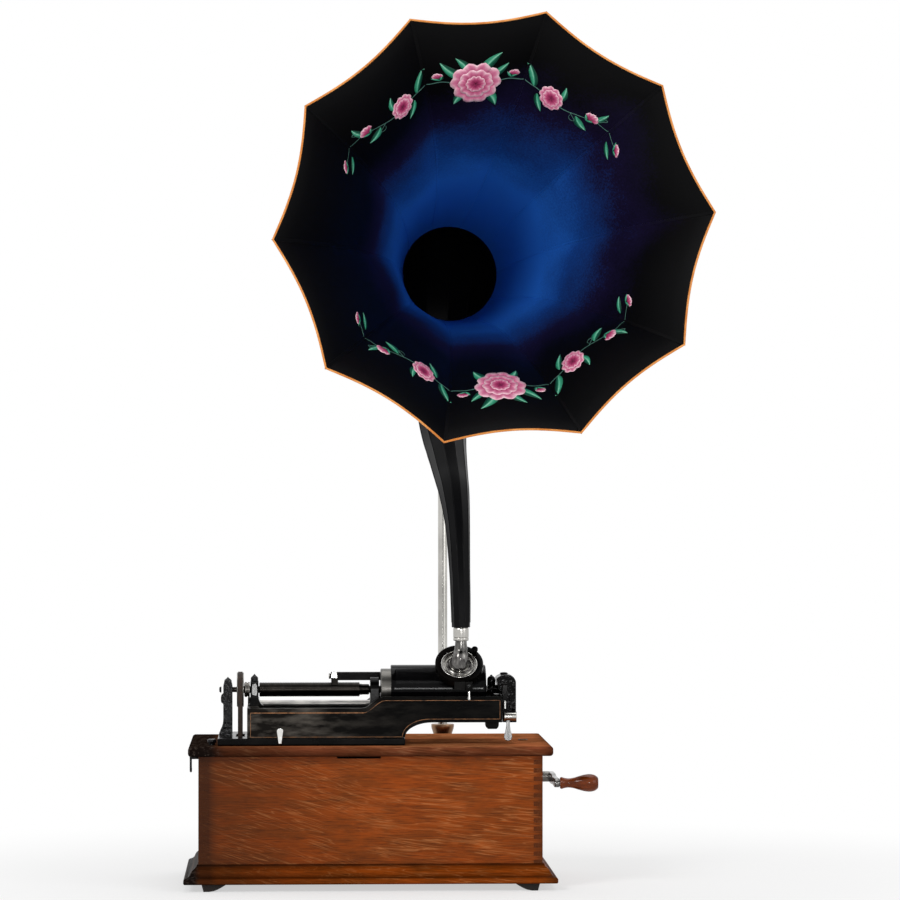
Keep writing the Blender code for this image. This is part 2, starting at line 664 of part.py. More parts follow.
def make_top_works(root):
    bed = piece("bedplate", block((BED_LEFT, BED_RIGHT), (BED_FRONT, BED_BACK),
                                  (WORKS_FLOOR + SEAT_GAP, BED_TOP)), root, (BLACK, 0.25, 0))
    rounded(bed, BED_ROUND)
    cut(bed, belt_slot(WORKS_FLOOR, BED_TOP))

    rise = CAST_HIGH_TOP - CAST_LOW_TOP
    run = STEP_END - STEP_START
    step = [(STEP_START + run * share, CAST_LOW_TOP + rise * (3 - 2 * share) * share ** 2)
            for share in CURVE_SHARES]
    under = ARM_UNDERSIDE - CAST_BOTTOM
    bend = [(ARM_START + ARM_BEND * (1 - math.cos(a)), CAST_BOTTOM + under * math.sin(a))
            for a in (share * math.pi / 2 for share in reversed(CURVE_SHARES))]
    outline = [(CAST_LEFT, CAST_BOTTOM), (CAST_LEFT, CAST_LOW_TOP), *step, (CAST_RIGHT, CAST_HIGH_TOP),
               (CAST_RIGHT, ARM_UNDERSIDE), *bend]
    body = piece("body_casting", prism(outline, CAST_FRONT, CAST_BACK), root, (BLACK, 0.25, 0))
    inner_y = (CAST_FRONT + CAST_WALL, CAST_BACK - CAST_WALL)
    tall = (CAST_BOTTOM - OVERRUN, CAST_HIGH_TOP + OVERRUN)
    cut(body, block((CAST_LEFT + CAST_LEFT_WALL, WEB_LEFT), inner_y, tall),
        block((WEB_RIGHT, CAST_RIGHT - CAST_WALL), inner_y, tall),
        block((WEB_LEFT - OVERRUN, WEB_RIGHT + OVERRUN), inner_y, (WEB_TOP, tall[1])),
        block((CAST_LEFT - OVERRUN, CAST_LEFT + CAST_LEFT_WALL + OVERRUN),
              (ARBOR_Y - BEARING_DEPTH / 2 - SEAT_GAP, ARBOR_Y + BEARING_DEPTH / 2 + SEAT_GAP),
              (BEARING_SEAT, tall[1])))
    tall_boss = BOSS_DROP + CAST_WALL / 2
    boss = prism([(BOSS_LEFT + (BOSS_RIGHT - BOSS_LEFT) * u, ARM_UNDERSIDE - BOSS_DROP + tall_boss * v)
                  for u, v in BOSS_SHARES], CAST_FRONT + CAST_WALL / 2, CAST_FRONT + BOSS_DEPTH)
    lug_end = CAST_LEFT + CAST_LEFT_WALL
    fuse(body, boss, rod((CAST_LEFT, ROD_Y, ROD_Z), (lug_end, ROD_Y, ROD_Z), LUG_RADIUS))
    for low, high in ((CAST_LEFT, lug_end), (CAST_RIGHT - CAST_WALL, CAST_RIGHT)):
        cut(body, rod((low - OVERRUN, ROD_Y, ROD_Z), (high + OVERRUN, ROD_Y, ROD_Z), bore(ROD_RADIUS)))

    piece("guide_rod", rod((CAST_LEFT, ROD_Y, ROD_Z), (CAST_RIGHT, ROD_Y, ROD_Z), ROD_RADIUS),
          root, (STEEL, 0.25, 1))

    # the pivot post: a standard that spreads to the left at its foot, with a boss on its left side
    # and a pin on its right that carries the shaft's left centre
    left, right = POST_LEFT, POST_LEFT + POST_WIDTH
    spread_shares = ((1, 0), (0.9, 0.05), (0.45, 0.13), (0.12, 0.20), (0, 0.28))
    boss_shares = ((0, 0.575), (0.7, 0.59), (1, 0.62), (1, 0.71), (0.7, 0.74), (0, 0.755))
    top_shares = ((0, 0.90), (0.14, 1), (0.86, 1), (1, 0.90), (1, 0))
    outline = [(left - POST_FLARE * u, v) for u, v in spread_shares]
    outline += [(left - POST_BOSS * u, v) for u, v in boss_shares]
    outline += [(left + POST_WIDTH * u, v) for u, v in top_shares]
    foot = BED_TOP + SEAT_GAP
    points = [(x, foot + (POST_TOP - foot) * v) for x, v in outline]
    post = piece("pivot_post", prism(points, ARBOR_Y - POST_DEPTH / 2, ARBOR_Y + POST_DEPTH / 2),
                 root, (BLACK, 0.25, 0))
    gap = SHAFT_LEFT - right
    centre = [(-CONE_DEPTH, 0), (-CONE_DEPTH, CONE_RADIUS), (gap, CONE_RADIUS), (gap + CONE_DEPTH, 0)]
    cone = turned(centre, (right, ARBOR_Y, ARBOR_Z), (1, 0, 0), SMALL_SIDES)
    middle = left + POST_WIDTH / 2
    tip = turned([(0, 0), (0, CAP_RADIUS), (POST_FOOT, CAP_RADIUS), (POST_FOOT + POST_TIP, 0)],
                 (middle, ARBOR_Y, POST_TOP - POST_FOOT + SEAT_GAP), sides=SMALL_SIDES)
    fuse(post, cone, tip)

    # the bearings: a pedestal with a round head, bored for its journal, with a pointed oil cap
    make_bearing(root, "left_bearing", BEARING_LEFT, BEARING_WIDTH, BEARING_DEPTH,
                 BEARING_SEAT + SEAT_GAP, BEARING_HEAD_RADIUS, True)
    make_bearing(root, "middle_bearing", WEB_LEFT, WEB_RIGHT - WEB_LEFT, MIDDLE_DEPTH,
                 WEB_TOP + SEAT_GAP, MIDDLE_HEAD_RADIUS, False)


def make_bearing(root, name, left, width, depth, seat, head, capped):
    half = depth / 2
    arc = [(ARBOR_Y + head * math.cos(a), ARBOR_Z + head * math.sin(a))
           for a in (math.pi * k / 8 for k in range(9))]
    outline = [(ARBOR_Y - half, seat), (ARBOR_Y + half, seat),
               (ARBOR_Y + half, seat + (ARBOR_Z - seat) / 4), *arc,
               (ARBOR_Y - half, seat + (ARBOR_Z - seat) / 4)]
    made = piece(name, prism(outline, left, left + width, "X"), root, (BLACK, 0.3, 0))
    if capped:
        # a hollow-sided foot on the casting's wall
        low, high = CAST_LOW_TOP + SEAT_GAP, CAST_LOW_TOP + BEARING_SPREAD_HEIGHT
        right = left + width
        foot_shares = ((1, 0), (0.9, 0.08), (0.5, 0.28), (0.2, 0.58), (0, 1))
        foot = [(left - BEARING_SPREAD_LEFT * u, low + (high - low) * v) for u, v in foot_shares]
        foot += [(right + BEARING_SPREAD_RIGHT * u, low + (high - low) * v)
                 for u, v in reversed(foot_shares)]
        fuse(made, prism(foot, ARBOR_Y - half, ARBOR_Y + half))
        top = ARBOR_Z + head
        fuse(made, turned([(-CAP_RADIUS, 0), (-CAP_RADIUS, CAP_RADIUS), (CAP_HEIGHT / 3, CAP_RADIUS),
                           (CAP_HEIGHT / 2, CAP_RADIUS * 0.9), (CAP_HEIGHT, 0)],
                          (left + width / 2, ARBOR_Y, top), sides=SMALL_SIDES))
    cut(made, rod((left - OVERRUN, ARBOR_Y, ARBOR_Z), (left + width + OVERRUN, ARBOR_Y, ARBOR_Z),
                  bore(SHAFT_RADIUS)))


# Arbor

def make_arbor(root):
    axis = axis_empty("mandrel_axis", root, (0, ARBOR_Y, ARBOR_Z))
    seat = SEAT_GAP / math.sin(math.atan2(CONE_RADIUS, CONE_DEPTH))
    steps = [(SHAFT_LEFT, SHAFT_RADIUS), (COLLAR_LEFT + SEAT_GAP, SHAFT_RADIUS),
             (COLLAR_LEFT + SEAT_GAP, COLLAR_RADIUS * 0.8), (COLLAR_LEFT + PULLEY_LIP, COLLAR_RADIUS),
             (COLLAR_RIGHT, COLLAR_RADIUS), (COLLAR_RIGHT, SHAFT_RADIUS),
             (SCREW_LEFT, SHAFT_RADIUS), (SCREW_LEFT, SCREW_RADIUS), (SCREW_RIGHT, SCREW_RADIUS),
             (SCREW_RIGHT, SHAFT_RADIUS), (SHAFT_RIGHT, SHAFT_RADIUS), (SHAFT_RIGHT, 0)]
    profile = [(SHAFT_LEFT + CONE_DEPTH, 0), (SHAFT_LEFT, CONE_RADIUS + seat), *steps]
    piece("feed_screw", turned(profile, (0, ARBOR_Y, ARBOR_Z), (1, 0, 0)), axis, (STEEL, 0.3, 1))

    hole = SHAFT_RADIUS / math.cos(math.pi / ROUND_SIDES) + SEAT_GAP
    low, high = PULLEY_RADIUS, PULLEY_RADIUS + PULLEY_LIP
    wide = PULLEY_WIDTH - SEAT_GAP
    pulley = [(0, hole), (0, high), (PULLEY_FLANGE, high), (PULLEY_FLANGE, low),
              (wide - PULLEY_FLANGE, low), (wide - PULLEY_FLANGE, high), (wide, high), (wide, hole)]
    piece("mandrel_pulley", turned(pulley, (PULLEY_LEFT, ARBOR_Y, ARBOR_Z), (1, 0, 0)),
          axis, (STEEL, 0.3, 1))

    length = MANDREL_RIGHT - MANDREL_LEFT
    edge = RECORD_EDGE
    mandrel = [(0, hole), (0, MANDREL_LARGE_RADIUS - edge), (edge, MANDREL_LARGE_RADIUS),
               (length - edge, MANDREL_SMALL_RADIUS), (length, MANDREL_SMALL_RADIUS - edge),
               (length, hole)]
    piece("mandrel", turned(mandrel, (MANDREL_LEFT, ARBOR_Y, ARBOR_Z), (1, 0, 0), FINE_SIDES),
          axis, (NICKEL, 0.25, 1))

    # the record's bore has the mandrel's taper, so it seats along its whole length
    fall = (MANDREL_LARGE_RADIUS - MANDREL_SMALL_RADIUS) / (length - 2 * edge)
    start = MANDREL_LARGE_RADIUS - fall * (RECORD_LEFT - MANDREL_LEFT - edge)
    near, far = start + SEAT_GAP, start - fall * RECORD_LENGTH + SEAT_GAP
    record = [(0, near), (0, RECORD_RADIUS - edge), (edge, RECORD_RADIUS),
              (RECORD_LENGTH - edge, RECORD_RADIUS), (RECORD_LENGTH, RECORD_RADIUS - edge),
              (RECORD_LENGTH, far)]
    piece("wax_record", turned(record, (RECORD_LEFT, ARBOR_Y, ARBOR_Z), (1, 0, 0), FINE_SIDES),
          axis, (WAX, 0.35, 0))


# Carriage, arm and reproducer

def ring_frame():
    """The reproducer's centre, its normal and the direction up its face."""
    normal = Vector((0, -math.sin(RING_TILT), math.cos(RING_TILT)))
    upward = Vector((0, math.cos(RING_TILT), math.sin(RING_TILT)))
    return Vector((RING_X, ARBOR_Y, ARBOR_Z)) + normal * RING_DISTANCE, normal, upward


def make_carriage(root):
    slide = axis_empty("carriage_slide", root, (SLEEVE_LEFT, ROD_Y, ROD_Z))
    hole, length = bore(ROD_RADIUS), SLEEVE_RIGHT - SLEEVE_LEFT
    sleeve = [(0, hole), (0, SLEEVE_RADIUS), (length, SLEEVE_RADIUS), (length, hole)]
    piece("carriage_sleeve", turned(sleeve, (SLEEVE_LEFT, ROD_Y, ROD_Z), (1, 0, 0)),
          slide, (STEEL, 0.3, 1))

    arm_axis = axis_empty("arm_axis", slide, (ARM_LEFT, ROD_Y, ROD_Z))
    centre, normal, upward = ring_frame()
    outer = ARM_INNER_RADIUS + ARM_THICKNESS
    sweep = [ARM_START_ANGLE + (ARM_END_ANGLE - ARM_START_ANGLE) * k / 10 for k in range(11)]
    curve = [(ARBOR_Y + outer * math.cos(a), ARBOR_Z + outer * math.sin(a)) for a in sweep]
    curve += [(ARBOR_Y + ARM_INNER_RADIUS * math.cos(a), ARBOR_Z + ARM_INNER_RADIUS * math.sin(a))
              for a in reversed(sweep)]
    right = ARM_LEFT + ARM_WIDTH
    arm = piece("reproducer_arm", prism(curve, ARM_LEFT, right, "X"), arm_axis, (BLACK, 0.3, 0))
    half = RING_THICKNESS / 2
    ring = turned([(-half, 0), (-half, RING_RADIUS), (half, RING_RADIUS), (half, 0)],
                  centre, normal, FINE_SIDES)
    weight = block((WEIGHT_LEFT, WEIGHT_LEFT + WEIGHT_WIDTH),
                   (WEIGHT_Y - WEIGHT_DEPTH / 2, WEIGHT_Y + WEIGHT_DEPTH / 2),
                   (WEIGHT_Z - WEIGHT_HEIGHT / 2, WEIGHT_Z + WEIGHT_HEIGHT / 2))
    lug = block((LIFT_X - LUG_WIDTH / 2, LIFT_X + LUG_WIDTH / 2),
                (LIFT_Y + LIFT_RADIUS + SEAT_GAP, WEIGHT_Y + WEIGHT_DEPTH / 2),
                (LIFT_PIVOT_Z - LIFT_EYE_RADIUS, WEIGHT_Z + WEIGHT_HEIGHT / 2))
    fuse(arm, rod((ARM_LEFT, ROD_Y, ROD_Z), (right, ROD_Y, ROD_Z), HUB_RADIUS), ring, weight, lug)
    face = centre - normal * (half + OVERRUN)
    cut(arm, rod((ARM_LEFT - OVERRUN, ROD_Y, ROD_Z), (right + OVERRUN, ROD_Y, ROD_Z),
                 bore(SLEEVE_RADIUS)),
        rod(face, centre + normal * (half + OVERRUN), DISH_RADIUS + SEAT_GAP, FINE_SIDES))

    # the reproducer: a shallow dish in the ring, a stylus bar under it and a neck that rises upright
    bottom = RECORD_RADIUS + SEAT_GAP - RING_DISTANCE
    deep = DISH_THICKNESS / 2
    dish_shares = ((-1, 0.94), (-0.8, 1), (0.6, 1), (1, 0.92), (1.4, 0.6), (1.9, 0.42), (1.9, 0))
    dish = [(bottom, 0), (bottom, STYLUS_RADIUS), (-deep, STYLUS_RADIUS * 2)]
    dish += [(deep * along, DISH_RADIUS * out) for along, out in dish_shares]
    reproducer = piece("reproducer", turned(dish, centre, normal, FINE_SIDES), arm_axis,
                       (NICKEL, 0.2, 1))
    rise = NECK_TOP - NECK_FOOT
    flare_shares = ((0, 0), (0, 0.8), (0.2, 0.82))
    neck_shares = ((0.36, 1.35), (0.52, 1.1), (0.66, 1), (1, 1), (1, 0))
    neck = [(rise * up, NECK_FLARE * out) for up, out in flare_shares]
    neck += [(rise * up, NECK_RADIUS * out) for up, out in neck_shares]
    fuse(reproducer, turned(neck, (NECK_X, NECK_Y, NECK_FOOT)))
    cut(reproducer, rod((NECK_X, NECK_Y, NECK_FOOT + rise / 3), (NECK_X, NECK_Y, NECK_TOP + OVERRUN),
                        NECK_BORE, SMALL_SIDES))

    knob_out = (RING_RADIUS + DISH_RADIUS) / 2
    side = Vector((1, 0, 0))
    foot = centre + knob_out * (math.cos(KNOB_ANGLE) * side + math.sin(KNOB_ANGLE) * upward)
    foot += normal * (half + SEAT_GAP)
    knob_axis = axis_empty("clamp_axis", arm_axis, tuple(foot))
    knob_shares = ((0, 0), (0, 0.6), (0.4, 0.6), (0.45, 1), (0.9, 1), (1, 0.7), (1, 0))
    knob = [(KNOB_HEIGHT * up, KNOB_RADIUS * out) for up, out in knob_shares]
    piece("clamp_knob", turned(knob, foot, normal, SMALL_SIDES), knob_axis, (BLACK, 0.4, 0))

    # the half-nut arm is a straight bar beside the arm; the half nut straddles the feed screw
    bar = block((NUT_LEFT, ARM_LEFT - SEAT_GAP), (-NUT_ARM_DEPTH / 2, NUT_ARM_DEPTH / 2),
                (NUT_ARM_BOTTOM, NUT_ARM_BOTTOM + NUT_ARM_HEIGHT))
    piece("half_nut_arm", bar, arm_axis, (BLACK, 0.3, 0))
    nut_top = NUT_ARM_BOTTOM + NUT_ARM_HEIGHT / 2
    nut = piece("half_nut", block((NUT_LEFT, NUT_LEFT + NUT_WIDTH),
                                  (ARBOR_Y - NUT_DEPTH / 2, -NUT_ARM_DEPTH / 2 - SEAT_GAP),
                                  (NUT_BOTTOM, nut_top)), arm_axis, (NICKEL, 0.25, 1))
    cut(nut, rod((NUT_LEFT - OVERRUN, ARBOR_Y, ARBOR_Z),
                 (NUT_LEFT + NUT_WIDTH + OVERRUN, ARBOR_Y, ARBOR_Z), bore(SCREW_RADIUS)),
        block((NUT_LEFT - OVERRUN, NUT_LEFT + NUT_WIDTH + OVERRUN), (ARBOR_Y + NUT_DEPTH / 2, OVERRUN),
              (NUT_BOTTOM - OVERRUN, NUT_ARM_BOTTOM)))

    lift = axis_empty("lift_lever_axis", arm_axis, (LIFT_X, LIFT_Y, LIFT_PIVOT_Z))
    eye = rod((LIFT_X, LIFT_Y - LIFT_RADIUS, LIFT_PIVOT_Z), (LIFT_X, LIFT_Y + LIFT_RADIUS, LIFT_PIVOT_Z),
              LIFT_EYE_RADIUS, SMALL_SIDES)
    lever = piece("lift_lever", eye, lift, (NICKEL, 0.25, 1))
    tip = LIFT_TIP
    fuse(lever, turned([(0, 0), (LIFT_RADIUS / 3, LIFT_RADIUS * 0.8), (LIFT_RADIUS, LIFT_RADIUS),
                        (LIFT_PIVOT_Z - tip, LIFT_RADIUS), (LIFT_PIVOT_Z - tip, 0)],
                       (LIFT_X, LIFT_Y, tip), sides=SMALL_SIDES))
    return slide, arm_axis


# Horn

def elbow_plane():
    start = Vector((NECK_X, NECK_Y, 0))
    back = Matrix.Rotation(-ELBOW_TURN, 3, "Z") @ Vector((0, 1, 0))
    return start, back, Matrix.Rotation(-ELBOW_TURN, 3, "Z") @ Vector((1, 0, 0))


def bell_frame():
    """The throat's centre, the bell's axis, and its right and up directions seen from the mouth."""
    start, back, _ = elbow_plane()
    centre = start + back * THROAT_BACK
    centre.z = ELBOW_BOTTOM + ELBOW_HEIGHT
    axis = Vector((math.sin(BELL_YAW) * math.cos(BELL_PITCH), -math.cos(BELL_YAW) * math.cos(BELL_PITCH),
                   math.sin(BELL_PITCH)))
    right = Vector((0, 0, 1)).cross(axis).normalized()
    return centre, axis, right, axis.cross(right)


def flare(share):
    """The radius at a seam, from the throat (0) to the mouth (1)."""
    grown = FLARE_START_SHARE * share + (1 - FLARE_START_SHARE) * share ** FLARE_POWER
    return THROAT_RADIUS + (MOUTH_RADIUS - THROAT_RADIUS) * grown


def panel_radius(share, off_middle):
    """Inner radius across a panel: round at the throat, flat, then dished towards the mouth."""
    half = math.pi / HORN_SIDES
    seam = flare(share)
    flat = seam * math.cos(half) / math.cos(off_middle)
    flatness = min(1, share * 2)
    dip = MOUTH_DIP * share ** 2 * (1 - (off_middle / half) ** 2)
    return seam + (flat - seam) * flatness - dip


def make_horn(slide_arm):
    pivot = (NECK_X, NECK_Y, (COLLAR_BOTTOM + NECK_TOP) / 2)
    axis = axis_empty("horn_axis", slide_arm, pivot)
    collar_top = COLLAR_BOTTOM + HORN_COLLAR_HEIGHT
    high = HORN_COLLAR_HEIGHT
    narrow = HORN_COLLAR_BORE - HORN_WALL
    collar = turned([(0, HORN_COLLAR_BORE), (0, HORN_COLLAR_RADIUS), (high, HORN_COLLAR_RADIUS),
                     (high, SPIGOT_RADIUS), (high + SPIGOT_HEIGHT, SPIGOT_RADIUS),
                     (high + SPIGOT_HEIGHT, narrow), (high / 2 + SEAT_GAP, narrow),
                     (high / 2, HORN_COLLAR_BORE)], (NECK_X, NECK_Y, COLLAR_BOTTOM))
    piece("horn_collar", collar, axis, (NICKEL, 0.25, 1))

    start, back, across = elbow_plane()
    growth = THROAT_RADIUS + HORN_WALL - ELBOW_START_RADIUS
    throat, bell_axis, _, _ = bell_frame()
    last = throat - bell_axis * SEAT_GAP
    points = []
    for reach, rise, wide in ELBOW_SHARES:
        place = start + back * (reach * ELBOW_REACH)
        place.z = collar_top + SEAT_GAP + rise * (last.z - collar_top - SEAT_GAP)
        points.append((*place, ELBOW_START_RADIUS + growth * wide))
    points.append((*last, THROAT_RADIUS + HORN_WALL))
    smooth = smooth_route(points, 2)
    path = [Vector(point[:3]) for point in smooth]
    radii = [point[3] for point in smooth]
    outer = rings_along(path, radii, HORN_SIDES, across)
    inner = rings_along(path, [radius - HORN_WALL for radius in radii], HORN_SIDES, across)
    # both ends are cut square to what they meet
    right, up = bell_frame()[2:]
    for rings, radius in ((outer, THROAT_RADIUS + HORN_WALL), (inner, THROAT_RADIUS)):
        for point in rings[0]:
            point.z = collar_top + SEAT_GAP
        turn = [math.atan2((point - last).dot(up), (point - last).dot(right)) for point in rings[-1]]
        rings[-1] = [last + radius * (math.cos(a) * right + math.sin(a) * up) for a in turn]
    piece("horn_elbow", tube_shell(outer, inner), axis, (HORN_BLACK, 0.3, 0))

    ring_in = (THROAT_RADIUS + HORN_WALL + SEAT_GAP) / math.cos(math.pi / FINE_SIDES)
    ring = turned([(0, ring_in), (0, ring_in + THROAT_RING_THICKNESS),
                   (THROAT_RING_WIDTH, ring_in + THROAT_RING_THICKNESS), (THROAT_RING_WIDTH, ring_in)],
                  last - bell_axis * THROAT_RING_WIDTH, bell_axis, FINE_SIDES)
    piece("throat_ring", ring, axis, (HORN_BLACK, 0.3, 0))

    for index in range(HORN_SIDES):
        piece(f"bell_panel_{index + 1:02d}", bell_panel(index), axis, (HORN_BLACK, 0.3, 0))
    make_hanger(axis)
    return axis


def bell_panel(index):
    """One petal, with a seam flange standing out along each of its long edges."""
    centre, axis, right, up = bell_frame()
    middle = FIRST_SEAM + (index + 0.5) * math.tau / HORN_SIDES
    sections = []
    for station in range(BELL_STATIONS):
        share = station / (BELL_STATIONS - 1)
        seam = flare(share)
        half = math.pi / HORN_SIDES - math.asin(PANEL_GAP / 2 / seam)
        strip = SEAM_WIDTH / seam
        flange = SEAM_HEIGHT * min(1, share * 4)
        angles = [-half + 2 * half * k / PANEL_COLUMNS for k in range(PANEL_COLUMNS + 1)]
        inner = [(a, 0) for a in angles]
        plate = [-half + strip, *angles[1:-1], half - strip]
        outer = [(half, HORN_WALL + flange), (half - strip, HORN_WALL + flange + SEAT_GAP)]
        outer += [(a, HORN_WALL) for a in reversed(plate)]
        outer += [(-half + strip, HORN_WALL + flange + SEAT_GAP), (-half, HORN_WALL + flange)]
        section = []
        for off, out in inner + outer:
            radius = panel_radius(share, off) + out
            turn = middle + off
            section.append(centre + axis * (share * BELL_LENGTH)
                           + radius * (math.cos(turn) * right + math.sin(turn) * up))
        sections.append(section)
    return lofted(sections)


def hanger_seat():
    """Where the hanger stands on the top panel, with the panel's directions up, along and across."""
    centre, bell_axis, right, up = bell_frame()
    share = HANGER_STATION_SHARE
    out = math.cos(HANGER_ANGLE) * right + math.sin(HANGER_ANGLE) * up
    off_middle = HANGER_ANGLE - FIRST_SEAM - HANGER_PANEL * math.tau / HORN_SIDES
    radius = panel_radius(share, off_middle) + HORN_WALL
    foot = centre + bell_axis * (share * BELL_LENGTH) + out * radius
    step = 1 / BELL_STATIONS
    lean = math.atan((flare(share + step) - flare(share - step)) / (2 * step * BELL_LENGTH))
    outward = (out * math.cos(lean) - bell_axis * math.sin(lean)).normalized()
    along = (bell_axis * math.cos(lean) + out * math.sin(lean)).normalized()
    return foot, outward, along, along.cross(outward)


def make_hanger(axis):
    """A tall wire loop on a riveted foot; the crane's arm runs through it and carries its top."""
    foot, outward, along, side = hanger_seat()
    half = LOOP_FOOT / 2
    corners = [[foot + along * (sx * half) + side * (sy * half) + outward * lift
                for sx, sy in ((1, 1), (-1, 1), (-1, -1), (1, -1))]
               for lift in (LOOP_SEAT, LOOP_SEAT + LOOP_WIRE * 2)]
    made = piece("hanger_loop", lofted(corners), axis, (NICKEL, 0.3, 1))
    base = foot + outward * (LOOP_SEAT + LOOP_WIRE)
    width = LOOP_WIDTH / 2 + LOOP_WIRE
    top = CRANE_TOP + CRANE_RADIUS + LOOP_SLACK + LOOP_WIRE
    level, upright, ahead = Vector((1, 0, 0)), Vector((0, 0, 1)), Vector((0, 1, 0))
    rings = []
    for k in range(LOOP_STEPS + 1):
        a = math.pi * k / LOOP_STEPS
        rings.append((Vector((base.x, base.y, top - width)), math.cos(a), math.sin(a)))
    for k in range(LOOP_STEPS + 1):
        a = math.pi + math.pi * k / LOOP_STEPS
        rings.append((Vector((base.x, base.y, base.z + width)), math.cos(a), math.sin(a)))
    tube = []
    for middle, cosine, sine in rings:
        out = level * cosine + upright * sine
        tube.append([middle + out * width + LOOP_WIRE * (math.cos(b) * out + math.sin(b) * ahead)
                     for b in (math.tau * j / 8 for j in range(8))])
    fuse(made, lofted(tube, closed_run=True))


# Crane

def make_crane(root):
    axis = axis_empty("crane_axis", root, (CRANE_X, CRANE_Y, SOCKET_TOP))
    seat = hanger_seat()[0]
    turn = Matrix.Rotation(math.atan2(seat.x - CRANE_X, CRANE_Y - seat.y), 3, "Z")
    back, across = turn @ Vector((0, 1, 0)), turn @ Vector((1, 0, 0))
    reach = math.hypot(seat.x - CRANE_X, CRANE_Y - seat.y) + CRANE_OVERHANG
    foot = Vector((CRANE_X, CRANE_Y, 0))
    rise = CRANE_BOW_TOP - CRANE_STRAIGHT
    drop = CRANE_TOP - CRANE_BEND_START
    route = [(0, CRANE_FOOT), (0, (CRANE_FOOT + CRANE_STRAIGHT) / 2), (0, CRANE_STRAIGHT)]
    bow_shares = (0.12, 0.28, 0.5, 0.72, 0.88, 1)
    route += [(CRANE_BOW * (3 - 2 * s) * s ** 2, CRANE_STRAIGHT + rise * s) for s in bow_shares]
    route.append((CRANE_BOW, CRANE_BEND_START))
    route += [(CRANE_BOW - drop * (1 - math.cos(a)), CRANE_BEND_START + drop * math.sin(a))
              for a in (math.pi / 10 * k for k in range(1, 6))]
    route.append((-reach * 2 / 3, CRANE_TOP))
    route.append((-reach, CRANE_TOP))
    path = [foot + back * y + Vector((0, 0, z)) for y, z in route]
    rings = rings_along(path, [CRANE_RADIUS] * len(path), SMALL_SIDES, across)
    piece("crane_rod", lofted(rings), axis, (NICKEL, 0.25, 1))
    # the knob that keeps the horn's loop on the arm
    turns = (math.pi * k / 6 for k in range(1, 6))
    ball = [(CRANE_BALL * (1 - math.cos(a)), CRANE_BALL * math.sin(a)) for a in turns]
    knob = turned([(SEAT_GAP, 0)] + [(along + SEAT_GAP, radius) for along, radius in ball]
                  + [(2 * CRANE_BALL + SEAT_GAP, 0)], path[-1], -back, SMALL_SIDES)
    piece("crane_knob", knob, axis, (NICKEL, 0.25, 1))

    low, high = SOCKET_BOTTOM, SOCKET_TOP
    socket = turned([(0, 0), (0, SOCKET_RADIUS), (high - low - SOCKET_FLARE_HEIGHT, SOCKET_RADIUS),
                     (high - low - SOCKET_FLARE_HEIGHT / 4, SOCKET_FLARE), (high - low, SOCKET_FLARE),
                     (high - low, 0)], (CRANE_X, CRANE_Y, low))
    bracket = piece("crane_bracket", socket, root, (NICKEL, 0.25, 1))
    wall = CASE_DEPTH / 2 + SEAT_GAP
    fuse(bracket, block((BRACKET_LEFT, BRACKET_LEFT + BRACKET_WIDTH), (wall, wall + BRACKET_PLATE),
                        (BRACKET_BOTTOM, BRACKET_TOP)),
         block((CRANE_X - BRACKET_WEB / 2, CRANE_X + BRACKET_WEB / 2),
               (wall + BRACKET_PLATE / 2, CRANE_Y),
               (SOCKET_BOTTOM + SEAT_GAP, BRACKET_TOP - SOCKET_FLARE_HEIGHT)))
    cut(bracket, rod((CRANE_X, CRANE_Y, CRANE_FOOT - SEAT_GAP), (CRANE_X, CRANE_Y, SOCKET_TOP + OVERRUN),
                     bore(CRANE_RADIUS)))


# End gate

